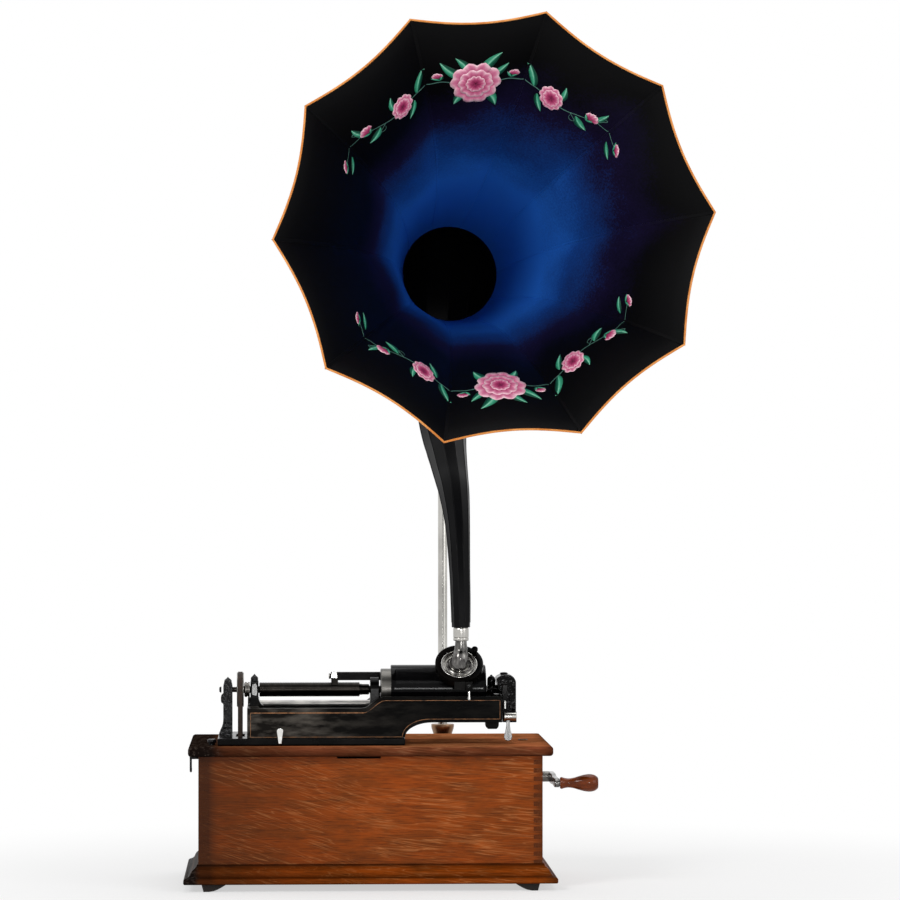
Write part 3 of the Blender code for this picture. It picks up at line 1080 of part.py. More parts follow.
def make_gate(root):
    hinge = axis_empty("gate_axis", root, (GATE_HINGE_X, GATE_HINGE_Y, GATE_BOTTOM))
    right = GATE_LEFT + GATE_THICKNESS
    plate = block((GATE_LEFT, right), (GATE_FRONT, GATE_HINGE_Y), (GATE_BOTTOM, GATE_TOP))
    gate = piece("end_gate", plate, hinge, (BLACK, 0.3, 0))
    rounded(gate, GATE_ROUND)
    # a thrust boss for the shaft's end, under an acorn-topped oil cup
    hub = rod((SHAFT_RIGHT + SEAT_GAP, ARBOR_Y, ARBOR_Z), (right, ARBOR_Y, ARBOR_Z), GATE_HUB_RADIUS)
    lift = CAST_HIGH_TOP + GATE_LIFT
    tall = GATE_CAP_TOP - lift
    cap_shares = ((0, 1), (0.72, 1), (0.82, 0.9), (0.90, 0.6), (0.93, 0.28), (0.98, 0.24), (1, 0))
    cap = turned([(0, 0)] + [(tall * up, GATE_CAP_RADIUS * out) for up, out in cap_shares],
                 (GATE_CAP_X, ARBOR_Y, lift), sides=SMALL_SIDES)
    # the lumpy housing on the gate's outside, its head leaning in over the casting's end
    wide, high = HOUSING_RIGHT - GATE_LEFT, HOUSING_TOP - GATE_BOTTOM
    outside_shares = ((0.2, 0), (0.92, 0), (1, 0.04), (1, 0.86), (0.84, 0.95), (0.52, 1), (0.1, 0.985))
    lean = GATE_LEFT - HOUSING_LEFT
    lean_shares = ((0.42, 0.92), (0.92, 0.84), (1, 0.7), (0.7, 0.3), (0, 0))
    housing = [(GATE_LEFT + wide * u, GATE_BOTTOM + high * v) for u, v in outside_shares]
    housing += [(GATE_LEFT - lean * u, lift + (HOUSING_TOP - lift) * v)
                for u, v in lean_shares]
    seat = block((GATE_LEFT + GATE_THICKNESS / 2, HOUSING_RIGHT), (GATE_FRONT, HOUSING_FRONT + OVERRUN),
                 (GATE_BOTTOM, LOCK_SEAT_TOP))
    middle = (GATE_BOTTOM + GATE_TOP) / 2
    knuckle = rod((GATE_HINGE_X, GATE_HINGE_Y, middle - KNUCKLE_HEIGHT / 2),
                  (GATE_HINGE_X, GATE_HINGE_Y, middle + KNUCKLE_HEIGHT / 2), KNUCKLE_RADIUS)
    fuse(gate, hub, cap, prism(housing, HOUSING_FRONT, HOUSING_BACK), seat, knuckle)
    clear = KNUCKLE_RADIUS + RUNNING_GAP * 2
    window_y = HOUSING_BACK + GATE_THICKNESS
    cut(gate, block((GATE_LEFT - OVERRUN, right + OVERRUN), (window_y, window_y + GATE_WINDOW_WIDTH),
                    (middle - GATE_WINDOW_HEIGHT / 2, middle + GATE_WINDOW_HEIGHT / 2)),
        block((SLIT_LEFT, SLIT_LEFT + SLIT_WIDTH), (HOUSING_FRONT - OVERRUN, HOUSING_BACK + OVERRUN),
              (SLIT_BOTTOM, SLIT_TOP)),
        block((GATE_LEFT - OVERRUN, right + OVERRUN), (GATE_HINGE_Y - clear, GATE_HINGE_Y + clear),
              (middle + KNUCKLE_HEIGHT / 2, GATE_TOP + OVERRUN)),
        block((GATE_LEFT - OVERRUN, right + OVERRUN), (GATE_HINGE_Y - clear, GATE_HINGE_Y + clear),
              (GATE_BOTTOM - OVERRUN, middle - KNUCKLE_HEIGHT / 2)),
        rod((GATE_HINGE_X, GATE_HINGE_Y, GATE_BOTTOM - OVERRUN),
            (GATE_HINGE_X, GATE_HINGE_Y, GATE_TOP + OVERRUN),
            bore(GATE_PIN_RADIUS, SMALL_SIDES), SMALL_SIDES))

    # two ears on the casting's side hold the gate's knuckle on a pin
    low = middle - KNUCKLE_HEIGHT / 2 - SEAT_GAP
    ear = KNUCKLE_HEIGHT * 0.6
    pin = piece("gate_hinge", rod((GATE_HINGE_X, GATE_HINGE_Y, low - ear),
                                  (GATE_HINGE_X, GATE_HINGE_Y, low + KNUCKLE_HEIGHT + 2 * SEAT_GAP + ear),
                                  GATE_PIN_RADIUS, SMALL_SIDES), root, (BLACK, 0.3, 0))
    top = low + KNUCKLE_HEIGHT + 2 * SEAT_GAP
    face = CAST_RIGHT + SEAT_GAP
    for bottom in (low - ear, top):
        fuse(pin, rod((GATE_HINGE_X, GATE_HINGE_Y, bottom), (GATE_HINGE_X, GATE_HINGE_Y, bottom + ear),
                      KNUCKLE_RADIUS),
             block((face, GATE_HINGE_X), (GATE_HINGE_Y - GATE_PIN_RADIUS, GATE_HINGE_Y + GATE_PIN_RADIUS),
                   (bottom, bottom + ear)))

    # the lock: a drum across the gate's front edge with a drop-shaped lever that hangs from it
    lock = axis_empty("lock_axis", hinge, (LOCK_LEFT, LOCK_Y, LOCK_Z))
    drum = piece("gate_lock", rod((LOCK_LEFT, LOCK_Y, LOCK_Z), (LOCK_LEFT + LOCK_LENGTH, LOCK_Y, LOCK_Z),
                                  LOCK_RADIUS), lock, (NICKEL, 0.2, 1))
    drop = LOCK_Z - LOCK_LEVER_BOTTOM
    half = LOCK_LEVER_HALF
    shares = ((0.42, 0.05), (0.42, 0.34), (0.6, 0.56), (0.86, 0.72), (1, 0.86), (0.8, 1))
    side = [(LOCK_LEVER_X + half * u, LOCK_Z - drop * v) for u, v in shares]
    side += [(LOCK_LEVER_X - half * u, LOCK_Z - drop * v) for u, v in reversed(shares)]
    fuse(drum, prism(side, LOCK_Y - LOCK_LEVER_THICKNESS / 2, LOCK_Y + LOCK_LEVER_THICKNESS / 2))


# Small controls

def make_controls(root, works):
    half = LEVER_WIDTH / 2
    front = BED_FRONT - LEVER_FRONT_GAP
    lever_axis = axis_empty("start_lever_slide", works, (LEVER_X, front, BED_TOP))
    height = LEVER_TOP - LEVER_BOTTOM
    shares = ((0.5, 0), (0.58, 0.2), (0.8, 0.55), (1, 0.78), (0.92, 0.9), (0.6, 0.98), (0, 1))
    paddle = [(LEVER_X + half * u, LEVER_BOTTOM + height * v) for u, v in shares]
    paddle += [(LEVER_X - half * u, LEVER_BOTTOM + height * v) for u, v in reversed(shares[:-1])]
    lever = piece("start_lever", prism(paddle, front - LEVER_THICKNESS, front), lever_axis,
                  (NICKEL, 0.2, 1))
    low = BED_TOP + SEAT_GAP
    tang_back = CAST_FRONT - SEAT_GAP * 2
    fuse(lever, block((LEVER_X - half / 2, LEVER_X + half / 2), (front - LEVER_THICKNESS / 2, tang_back),
                      (low, low + LEVER_THICKNESS)))

    speed = axis_empty("speed_axis", root, (SPEED_X, SPEED_Y, BOARD_TOP))
    deck = BOARD_TOP + SEAT_GAP - SPEED_DEPTH
    head_shares = ((0, 0.7), (0.3, 0.7), (0.4, 1), (0.85, 1), (1, 0.8), (1, 0))
    screw = [(0, 0), (0, SPEED_SHANK), (SPEED_DEPTH, SPEED_SHANK)]
    screw += [(SPEED_DEPTH + SPEED_HEAD_HEIGHT * up, SPEED_HEAD * out) for up, out in head_shares]
    piece("speed_screw", turned(screw, (SPEED_X, SPEED_Y, deck), sides=SMALL_SIDES), speed,
          (NICKEL, 0.25, 1))

    # the lid's catch: a wire hook that hangs from a pin in the case's left side
    wall = -CASE_LENGTH / 2
    hook_x = wall - CATCH_PIN - SEAT_GAP
    catch_z = CASE_TOP - CATCH_DROP
    catch_axis = axis_empty("catch_axis", root, (hook_x, CATCH_Y, catch_z))
    path = [Vector((hook_x, CATCH_Y, catch_z - CATCH_LENGTH * v)) + Vector((0, CATCH_LENGTH * u, 0))
            for u, v in ((0, 0), (0, 0.4), (0, 0.72), (0.06, 0.9), (0.2, 1), (0.34, 0.92), (0.38, 0.78))]
    rings = rings_along(path, [CATCH_WIRE] * len(path), 8, Vector((1, 0, 0)))
    catch = piece("lid_catch", lofted(rings), catch_axis, (BLACK, 0.4, 0))
    fuse(catch, rod((wall - SEAT_GAP, CATCH_Y, catch_z), (hook_x - CATCH_WIRE, CATCH_Y, catch_z),
                    CATCH_WIRE * 1.6, SMALL_SIDES))


# Belt and motor under the board

def make_motor(root):
    radius = PULLEY_RADIUS + SEAT_GAP
    left = PULLEY_LEFT + PULLEY_FLANGE + SEAT_GAP
    right = PULLEY_LEFT + PULLEY_WIDTH - SEAT_GAP * 2 - PULLEY_FLANGE
    bands = []
    for grown in (0, BELT_THICKNESS):
        loop = []
        for centre, start in ((ARBOR_Z, 0), (DRIVE_Z, math.pi)):
            for k in range(13):
                a, out = start + math.pi * k / 12, radius + grown
                loop.append((ARBOR_Y + out * math.cos(a), centre + out * math.sin(a)))
        bands.append(loop)
    inner, outer = bands
    sections = [[(left, *inner[k]), (right, *inner[k]), (right, *outer[k]), (left, *outer[k])]
                for k in range(len(inner))]
    piece("drive_belt", lofted(sections, closed_run=True), root, (LEATHER, 0.7, 0))

    plates = ((MOTOR_LEFT, MOTOR_LEFT + PLATE_THICKNESS), (MOTOR_RIGHT, MOTOR_RIGHT + PLATE_THICKNESS))
    frame = piece("motor_frame", block(plates[0], (PLATE_FRONT, PLATE_BACK), (PLATE_BOTTOM, PLATE_TOP)),
                  root, (BLACK, 0.4, 0))
    fuse(frame, block(plates[1], (PLATE_FRONT, PLATE_BACK), (PLATE_BOTTOM, PLATE_TOP)))
    for y, z in ((PLATE_FRONT, PLATE_TOP - TIE_SIZE), (PLATE_BACK - TIE_SIZE, PLATE_TOP - TIE_SIZE),
                 (PLATE_FRONT, PLATE_BOTTOM), (PLATE_BACK - TIE_SIZE, PLATE_BOTTOM)):
        fuse(frame, block((MOTOR_LEFT + PLATE_THICKNESS / 2, MOTOR_RIGHT + PLATE_THICKNESS / 2),
                          (y, y + TIE_SIZE), (z, z + TIE_SIZE)))
    end = MOTOR_RIGHT + PLATE_THICKNESS
    for y, z, size in ((ARBOR_Y, DRIVE_Z, SHAFT_RADIUS), (CRANK_Y, CRANK_Z, CRANK_SHAFT),
                       (GOVERNOR_Y, GOVERNOR_Z, GOVERNOR_SHAFT)):
        cut(frame, rod((MOTOR_LEFT - OVERRUN, y, z), (end + OVERRUN, y, z), bore(size)))

    drive = axis_empty("drive_axis", root, (0, ARBOR_Y, DRIVE_Z))
    shaft = SHAFT_RADIUS
    wide = PULLEY_WIDTH - SEAT_GAP
    low, high = PULLEY_RADIUS, PULLEY_RADIUS + PULLEY_LIP
    steps = [(0, 0), (0, high), (PULLEY_FLANGE, high), (PULLEY_FLANGE, low), (wide - PULLEY_FLANGE, low),
             (wide - PULLEY_FLANGE, high), (wide, high), (wide, shaft), (end - PULLEY_LEFT, shaft),
             (end - PULLEY_LEFT, 0)]
    piece("drive_pulley", turned(steps, (PULLEY_LEFT, ARBOR_Y, DRIVE_Z), (1, 0, 0)),
          drive, (STEEL, 0.3, 1))

    barrel = axis_empty("barrel_axis", root, (0, CRANK_Y, CRANK_Z))
    start = MOTOR_LEFT + PLATE_THICKNESS + SEAT_GAP
    long = (MOTOR_RIGHT - start) * BARREL_SHARE
    rim = BARREL_FLANGE_WIDTH
    profile = [(-PLATE_THICKNESS, 0), (-PLATE_THICKNESS, CRANK_SHAFT), (0, CRANK_SHAFT),
               (0, BARREL_FLANGE), (rim, BARREL_FLANGE), (rim, BARREL_RADIUS), (long - rim, BARREL_RADIUS),
               (long - rim, BARREL_FLANGE), (long, BARREL_FLANGE), (long, 0)]
    piece("spring_barrel", turned(profile, (start, CRANK_Y, CRANK_Z), (1, 0, 0)),
          barrel, (STEEL, 0.35, 1))

    spin = axis_empty("governor_axis", root, (0, GOVERNOR_Y, GOVERNOR_Z))
    first = (MOTOR_LEFT + MOTOR_RIGHT) / 2
    wide = GOVERNOR_DISK_WIDTH
    thin = GOVERNOR_SHAFT
    profile = [(MOTOR_LEFT, 0), (MOTOR_LEFT, thin), (first, thin), (first, GOVERNOR_DISK),
               (first + wide, GOVERNOR_DISK), (first + wide, thin), (end, thin), (end, 0)]
    governor = piece("governor", turned(profile, (0, GOVERNOR_Y, GOVERNOR_Z), (1, 0, 0), SMALL_SIDES),
                     spin, (BRASS, 0.3, 1))
    for k in range(WEIGHT_COUNT):
        a = math.tau * k / WEIGHT_COUNT
        y, z = GOVERNOR_Y + WEIGHT_ORBIT * math.cos(a), GOVERNOR_Z + WEIGHT_ORBIT * math.sin(a)
        fuse(governor, rod((first + wide / 2, y, z), (first + wide + WEIGHT_LENGTH, y, z),
                           WEIGHT_RADIUS, SMALL_SIDES))

    crank = axis_empty("crank_axis", root, (RIGHT_SIDE, CRANK_Y, CRANK_Z))
    inner_end = start + long + SEAT_GAP
    sleeve_start = MOTOR_RIGHT + PLATE_THICKNESS + SEAT_GAP
    outer_end = CRANK_ARM_LEFT + CRANK_ARM_THICKNESS
    steps = [(inner_end, 0), (inner_end, CRANK_SHAFT), (sleeve_start, CRANK_SHAFT),
             (sleeve_start, CRANK_SLEEVE), (outer_end, CRANK_SLEEVE), (outer_end, 0)]
    handle_y = CRANK_Y - CRANK_ARM_LENGTH
    shares = ((0, -1), (0.35, -1), (0.5, -0.7), (1, -CRANK_END_HALF / CRANK_ARM_HALF),
              (1 + CRANK_END_HALF / CRANK_ARM_LENGTH, 0), (1, CRANK_END_HALF / CRANK_ARM_HALF),
              (0.5, 0.7), (0.35, 1), (0, 1), (-CRANK_ARM_HALF / CRANK_ARM_LENGTH, 0))
    side = [(CRANK_Y - CRANK_ARM_LENGTH * u, CRANK_Z + CRANK_ARM_HALF * v) for u, v in shares]
    arm = piece("crank_arm", turned(steps, (0, CRANK_Y, CRANK_Z), (1, 0, 0)), crank, (STEEL, 0.3, 1))
    tip = outer_end + SEAT_GAP + HANDLE_LENGTH - SPINDLE_SHY
    spindle = rod((CRANK_ARM_LEFT + SEAT_GAP, handle_y, CRANK_Z), (tip, handle_y, CRANK_Z),
                  SPINDLE_RADIUS, SMALL_SIDES)
    fuse(arm, prism(side, CRANK_ARM_LEFT, outer_end, "X"), spindle)

    grip_axis = axis_empty("crank_handle_axis", crank, (outer_end, handle_y, CRANK_Z))
    hole = bore(SPINDLE_RADIUS, SMALL_SIDES)
    neck = HANDLE_RADIUS * HANDLE_NECK_SHARE
    shares = ((0, 1.15), (0.05, 1.3), (0.10, 1.15), (0.22, 1.0), (0.36, 1.15), (0.5, 1.5), (0.64, 1.8),
              (0.78, 1 / HANDLE_NECK_SHARE), (0.9, 1.75), (0.97, 1.4), (1, 1.15))
    profile = [(0, hole)] + [(HANDLE_LENGTH * u, neck * v) for u, v in shares] + [(HANDLE_LENGTH, hole)]
    grip = turned(profile, (outer_end + SEAT_GAP, handle_y, CRANK_Z), (1, 0, 0))
    piece("crank_handle", grip, grip_axis, (REDWOOD, 0.25, 0))


def stand_on_footprint(root):
    """Moves the root so that the model's own bounding box stands centred over the origin."""
    bpy.context.view_layer.update()
    depths = bpy.context.evaluated_depsgraph_get()
    low, high = Vector((1e9,) * 3), Vector((-1e9,) * 3)
    for made in bpy.data.objects:
        if made.type == "MESH" and not made.hide_render:
            shape = made.evaluated_get(depths)
            mesh = shape.to_mesh()
            for vert in mesh.vertices:
                place = shape.matrix_world @ vert.co
                low = Vector(map(min, low, place))
                high = Vector(map(max, high, place))
            shape.to_mesh_clear()
    middle = (low + high) / 2
    root.location = (-middle.x, -middle.y, -low.z)
    bpy.context.view_layer.update()
    print("moved by", tuple(round(v, 6) for v in root.location))


def main():
    clear_scene()
    root = axis_empty("phonograph", None, (0, 0, 0))
    make_case(root)
    works = axis_empty("works", root, (0, 0, 0))
    works.location = (WORKS_X, 0, WORKS_Z)
    make_top_works(works)
    make_arbor(works)
    slide, arm_axis = make_carriage(works)
    make_horn(arm_axis)
    make_crane(works)
    make_gate(works)
    make_controls(root, works)
    make_motor(works)
    stand_on_footprint(root)


main()
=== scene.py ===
import bpy
import bmesh
import math
from functools import partial
from mathutils import Matrix, Vector


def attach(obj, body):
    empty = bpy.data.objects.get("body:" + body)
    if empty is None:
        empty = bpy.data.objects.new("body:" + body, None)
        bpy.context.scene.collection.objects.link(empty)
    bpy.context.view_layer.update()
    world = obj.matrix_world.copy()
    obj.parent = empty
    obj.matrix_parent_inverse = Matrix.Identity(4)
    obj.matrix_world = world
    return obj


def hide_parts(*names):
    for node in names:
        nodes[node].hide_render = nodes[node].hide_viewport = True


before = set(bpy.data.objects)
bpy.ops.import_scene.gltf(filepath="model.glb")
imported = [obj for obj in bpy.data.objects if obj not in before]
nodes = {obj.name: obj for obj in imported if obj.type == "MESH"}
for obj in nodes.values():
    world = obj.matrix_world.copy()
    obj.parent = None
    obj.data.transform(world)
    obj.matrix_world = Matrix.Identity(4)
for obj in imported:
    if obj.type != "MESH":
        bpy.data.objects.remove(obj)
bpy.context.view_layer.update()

scene = bpy.context.scene
caseCentre = Vector((-0.078595, 0.093503, 0.0))  # where the frame has the middle of the case, on the table
quadrants = ((1, 1), (-1, 1), (-1, -1), (1, -1))


def at(x, y, z):  # millimetres from the middle of the case, turned to the frame's metres
    return Vector((x, y, z)) / 1000 + caseCentre


# shapes: every size below is in millimetres

def eased(points, reach, steps=3, closed=False):
    # rounds each corner of a run of points, so that the edge catches a line of light
    made, count = [], len(points)
    for index, point in enumerate(points):
        here = Vector(point)
        back, ahead = Vector(points[index - 1]) - here, Vector(points[(index + 1) % count]) - here
        room = min(reach, back.length * 0.45, ahead.length * 0.45)
        ending = not closed and index in (0, count - 1)
        if ending or room < 0.001 or back.normalized().dot(ahead.normalized()) < -0.995:
            made.append(here)
            continue
        start, end = here + back.normalized() * room, here + ahead.normalized() * room
        for t in (step / steps for step in range(steps + 1)):
            made.append(start * (1 - t) ** 2 + here * (2 * t * (1 - t)) + end * t ** 2)
    return made


def smoothRun(points, steps):  # a Catmull-Rom curve through the points, of any dimension
    route = [Vector(p) for p in points]
    route = [route[0] * 2 - route[1], *route, route[-1] * 2 - route[-2]]
    made = []
    for a, b, c, d in zip(route, route[1:], route[2:], route[3:]):
        for t in (step / steps for step in range(steps)):
            made.append((b * 2 + (c - a) * t + (a * 2 - b * 5 + c * 4 - d) * t ** 2
                         + (b * 3 - a - c * 3 + d) * t ** 3) * 0.5)
    return made + [route[-2]]


def skin(mesh, rings, closedRun=False, capped=False):
    # joins rings of points with faces; a ring of one point is a tip
    corners = [[mesh.verts.new(point) for point in ring] for ring in rings]
    pairs = list(zip(corners, corners[1:]))
    if closedRun:
        pairs.append((corners[-1], corners[0]))
    for first, second in pairs:
        for k in range(max(len(first), len(second))):
            face = []
            for vert in (first[k % len(first)], first[(k + 1) % len(first)],
                         second[(k + 1) % len(second)], second[k % len(second)]):
                if vert not in face:
                    face.append(vert)
            if len(face) > 2:
                mesh.faces.new(face)
    if capped:
        mesh.faces.new(list(reversed(corners[0])))
        mesh.faces.new(corners[-1])
    return mesh


def lathe(profile, origin, direction=(0, 0, 1), sides=64, corner=0.35, mesh=None):
    # turns a profile of (distance along, radius); one that ends off the axis closes on itself
    closed = profile[0][1] > 0
    turn = Vector((0, 0, 1)).rotation_difference(Vector(direction)).to_matrix()
    centre = at(*origin)
    rings = []
    for along, radius in eased(profile, corner, closed=closed):
        angles = (math.tau * k / sides for k in range(1 if radius < 0.001 else sides))
        radius = 0 if radius < 0.001 else radius
        rings.append([centre + turn @ (Vector((radius * math.cos(a), radius * math.sin(a), along)) / 1000)
                      for a in angles])
    return skin(mesh or bmesh.new(), rings, closedRun=closed)


def rod(length, radius, start=0):  # the profile of a plain rod
    return [(start, 0), (start, radius), (start + length, radius), (start + length, 0)]


def slab(outline, normal, start, end, mesh=None):
    # an outline in the plane across the named axis, extruded from start to end
    order = {"x": lambda u, v, w: at(w, u, v), "y": lambda u, v, w: at(u, w, v), "z": lambda u, v, w: at(u, v, w)}
    rings = [[order[normal](u, v, w) for u, v in outline] for w in (start, end)]
    return skin(mesh or bmesh.new(), rings, capped=True)


def box(xPair, yPair, zPair, mesh=None):
    outline = [(xPair[0], yPair[0]), (xPair[1], yPair[0]), (xPair[1], yPair[1]), (xPair[0], yPair[1])]
    return slab(outline, "z", *zPair, mesh=mesh)


def tube(path, radii, sides=16, mesh=None, across=None, closedRun=False):
    # a round wire along a path of frame points; radii in metres
    count = len(path)
    side = Vector(across) if across else None
    rings = []
    for index, centre in enumerate(path):
        after = path[(index + 1) % count] if closedRun else path[min(index + 1, count - 1)]
        before = path[index - 1] if closedRun else path[max(index - 1, 0)]
        ahead = (after - before).normalized()
        side = side or ahead.orthogonal().normalized()
        side = (side - ahead * side.dot(ahead)).normalized()
        up = ahead.cross(side)
        radius = radii[index] if isinstance(radii, list) else radii
        rings.append([centre + radius * (math.cos(a) * side + math.sin(a) * up)
                      for a in (math.tau * k / sides for k in range(sides))])
    return skin(mesh or bmesh.new(), rings, closedRun=closedRun, capped=not closedRun)


def placed(name, data):  # an object of the scene that shows this data
    made = bpy.data.objects.new(name, data)
    scene.collection.objects.link(made)
    return made


def meshData(name, mesh):
    bmesh.ops.recalc_face_normals(mesh, faces=mesh.faces)
    data = bpy.data.meshes.new(name)
    mesh.to_mesh(data)
    mesh.free()
    return data


def newPiece(name, mesh, surface, body="case", replaced=(), sharp=30, bevel=0, segments=3):
    # makes the object, gives it its finish and lets it move with its body
    data = meshData(name, mesh)
    made = placed(name, data)
    data.materials.append(surface)
    data.shade_smooth()
    data.set_sharp_from_angle(angle=math.radians(sharp))
    if bevel:
        edge = made.modifiers.new("edge", "BEVEL")
        edge.width, edge.segments = bevel / 1000, segments
        edge.limit_method, edge.angle_limit = "ANGLE", math.radians(28)
        edge.harden_normals = True
    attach(made, body)
    if replaced:
        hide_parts(*replaced)
    return made


def carve(target, operation, *shapes):
    # cuts shapes out of a mesh, or joins them to it, and leaves no cutter behind
    made = placed("held", meshData("held", target))
    helpers = [placed("helper", meshData("helper", shape)) for shape in shapes]
    for helper in helpers:
        step = made.modifiers.new("step", "BOOLEAN")
        step.object, step.operation, step.solver = helper, operation, "EXACT"
    result = bmesh.new()
    result.from_mesh(made.evaluated_get(bpy.context.evaluated_depsgraph_get()).to_mesh())
    bmesh.ops.remove_doubles(result, verts=result.verts, dist=1e-6)
    for helper in [made, *helpers]:
        bpy.data.objects.remove(helper)
    return result


# finishes

def linear(code):  # an sRGB hex value as the linear colour that a shader takes
    values = [int(code[k:k + 2], 16) / 255 for k in (1, 3, 5)]
    return [v / 12.92 if v <= 0.04045 else ((v + 0.055) / 1.055) ** 2.4 for v in values] + [1.0]


def addNode(tree, kind, sockets=None, out=0, stops=None, **settings):
    # adds a node, sets or links its sockets, and gives back the output that is wanted, or all of them for None
    node = tree.nodes.new("ShaderNode" + kind)
    for name, value in settings.items():
        setattr(node, name, value)
    for socket, value in (sockets or {}).items():
        if isinstance(value, bpy.types.NodeSocket):
            tree.links.new(value, node.inputs[socket])
        else:
            node.inputs[socket].default_value = linear(value) if isinstance(value, str) else value
    if stops:
        ramp = node.color_ramp
        while len(ramp.elements) < len(stops):
            ramp.elements.new(0.5)
        for element, (place, colour) in zip(ramp.elements, stops):
            element.position = place
            plain = colour if isinstance(colour, tuple) else (colour,) * 3
            element.color = linear(colour) if isinstance(colour, str) else (*plain, 1)
    return node.outputs if out is None else node.outputs[out]


blend = {"data_type": "RGBA"}
multiply = {"data_type": "RGBA", "blend_type": "MULTIPLY"}
smooth = {"interpolation_type": "SMOOTHSTEP"}


def startFinish(name, roughness, metallic=0.0, ior=1.5, coat=0.0, specular=0.5):
    made = bpy.data.materials.new(name)
    made.use_nodes = True
    shader = made.node_tree.nodes["Principled BSDF"]
    for socket, value in (("Roughness", roughness), ("Metallic", metallic), ("IOR", ior), ("Coat Weight", coat),
                          ("Coat Roughness", 0.1), ("Specular IOR Level", specular)):
        shader.inputs[socket].default_value = value
    return made, made.node_tree, shader


def wire(tree, shader, colour, normal, gloss=None):
    for socket, source in (("Base Color", colour), ("Normal", normal), ("Roughness", gloss)):
        if source is not None:
            tree.links.new(source, shader.inputs[socket])


def measured(tree, stretch=(1, 1, 1), centre=(0, 0, 0), turn=(0, 0, 0)):
    # the piece's own place in metres, moved, turned and stretched
    place = addNode(tree, "TexCoord", out="Object")
    return addNode(tree, "Mapping", {"Location": centre, "Rotation": turn, "Scale": [1 / s for s in stretch],
                                     "Vector": place}, vector_type="TEXTURE")


oakSizes = {"pore": 0.9, "poreLength": 22, "fleck": 4.4, "fleckLength": 76, "fleckSlant": 18, "rightSlant": 6,
            "cloud": 60}
# the oak's tones, among them the dark brown of its darker edges and of a painted shade towards the left, and the grey
# of painted glints on its nearly black left end
oakTones = {"deep": "#602c0a", "brown": "#77380b", "orange": "#8a3e0b", "bright": "#9d470f", "fleck": "#c67f49",
            "shadeTone": "#2a1609", "darkEnd": "#0b0807", "paintedGlint": "#3a322c", "end": "#3f1f0a"}


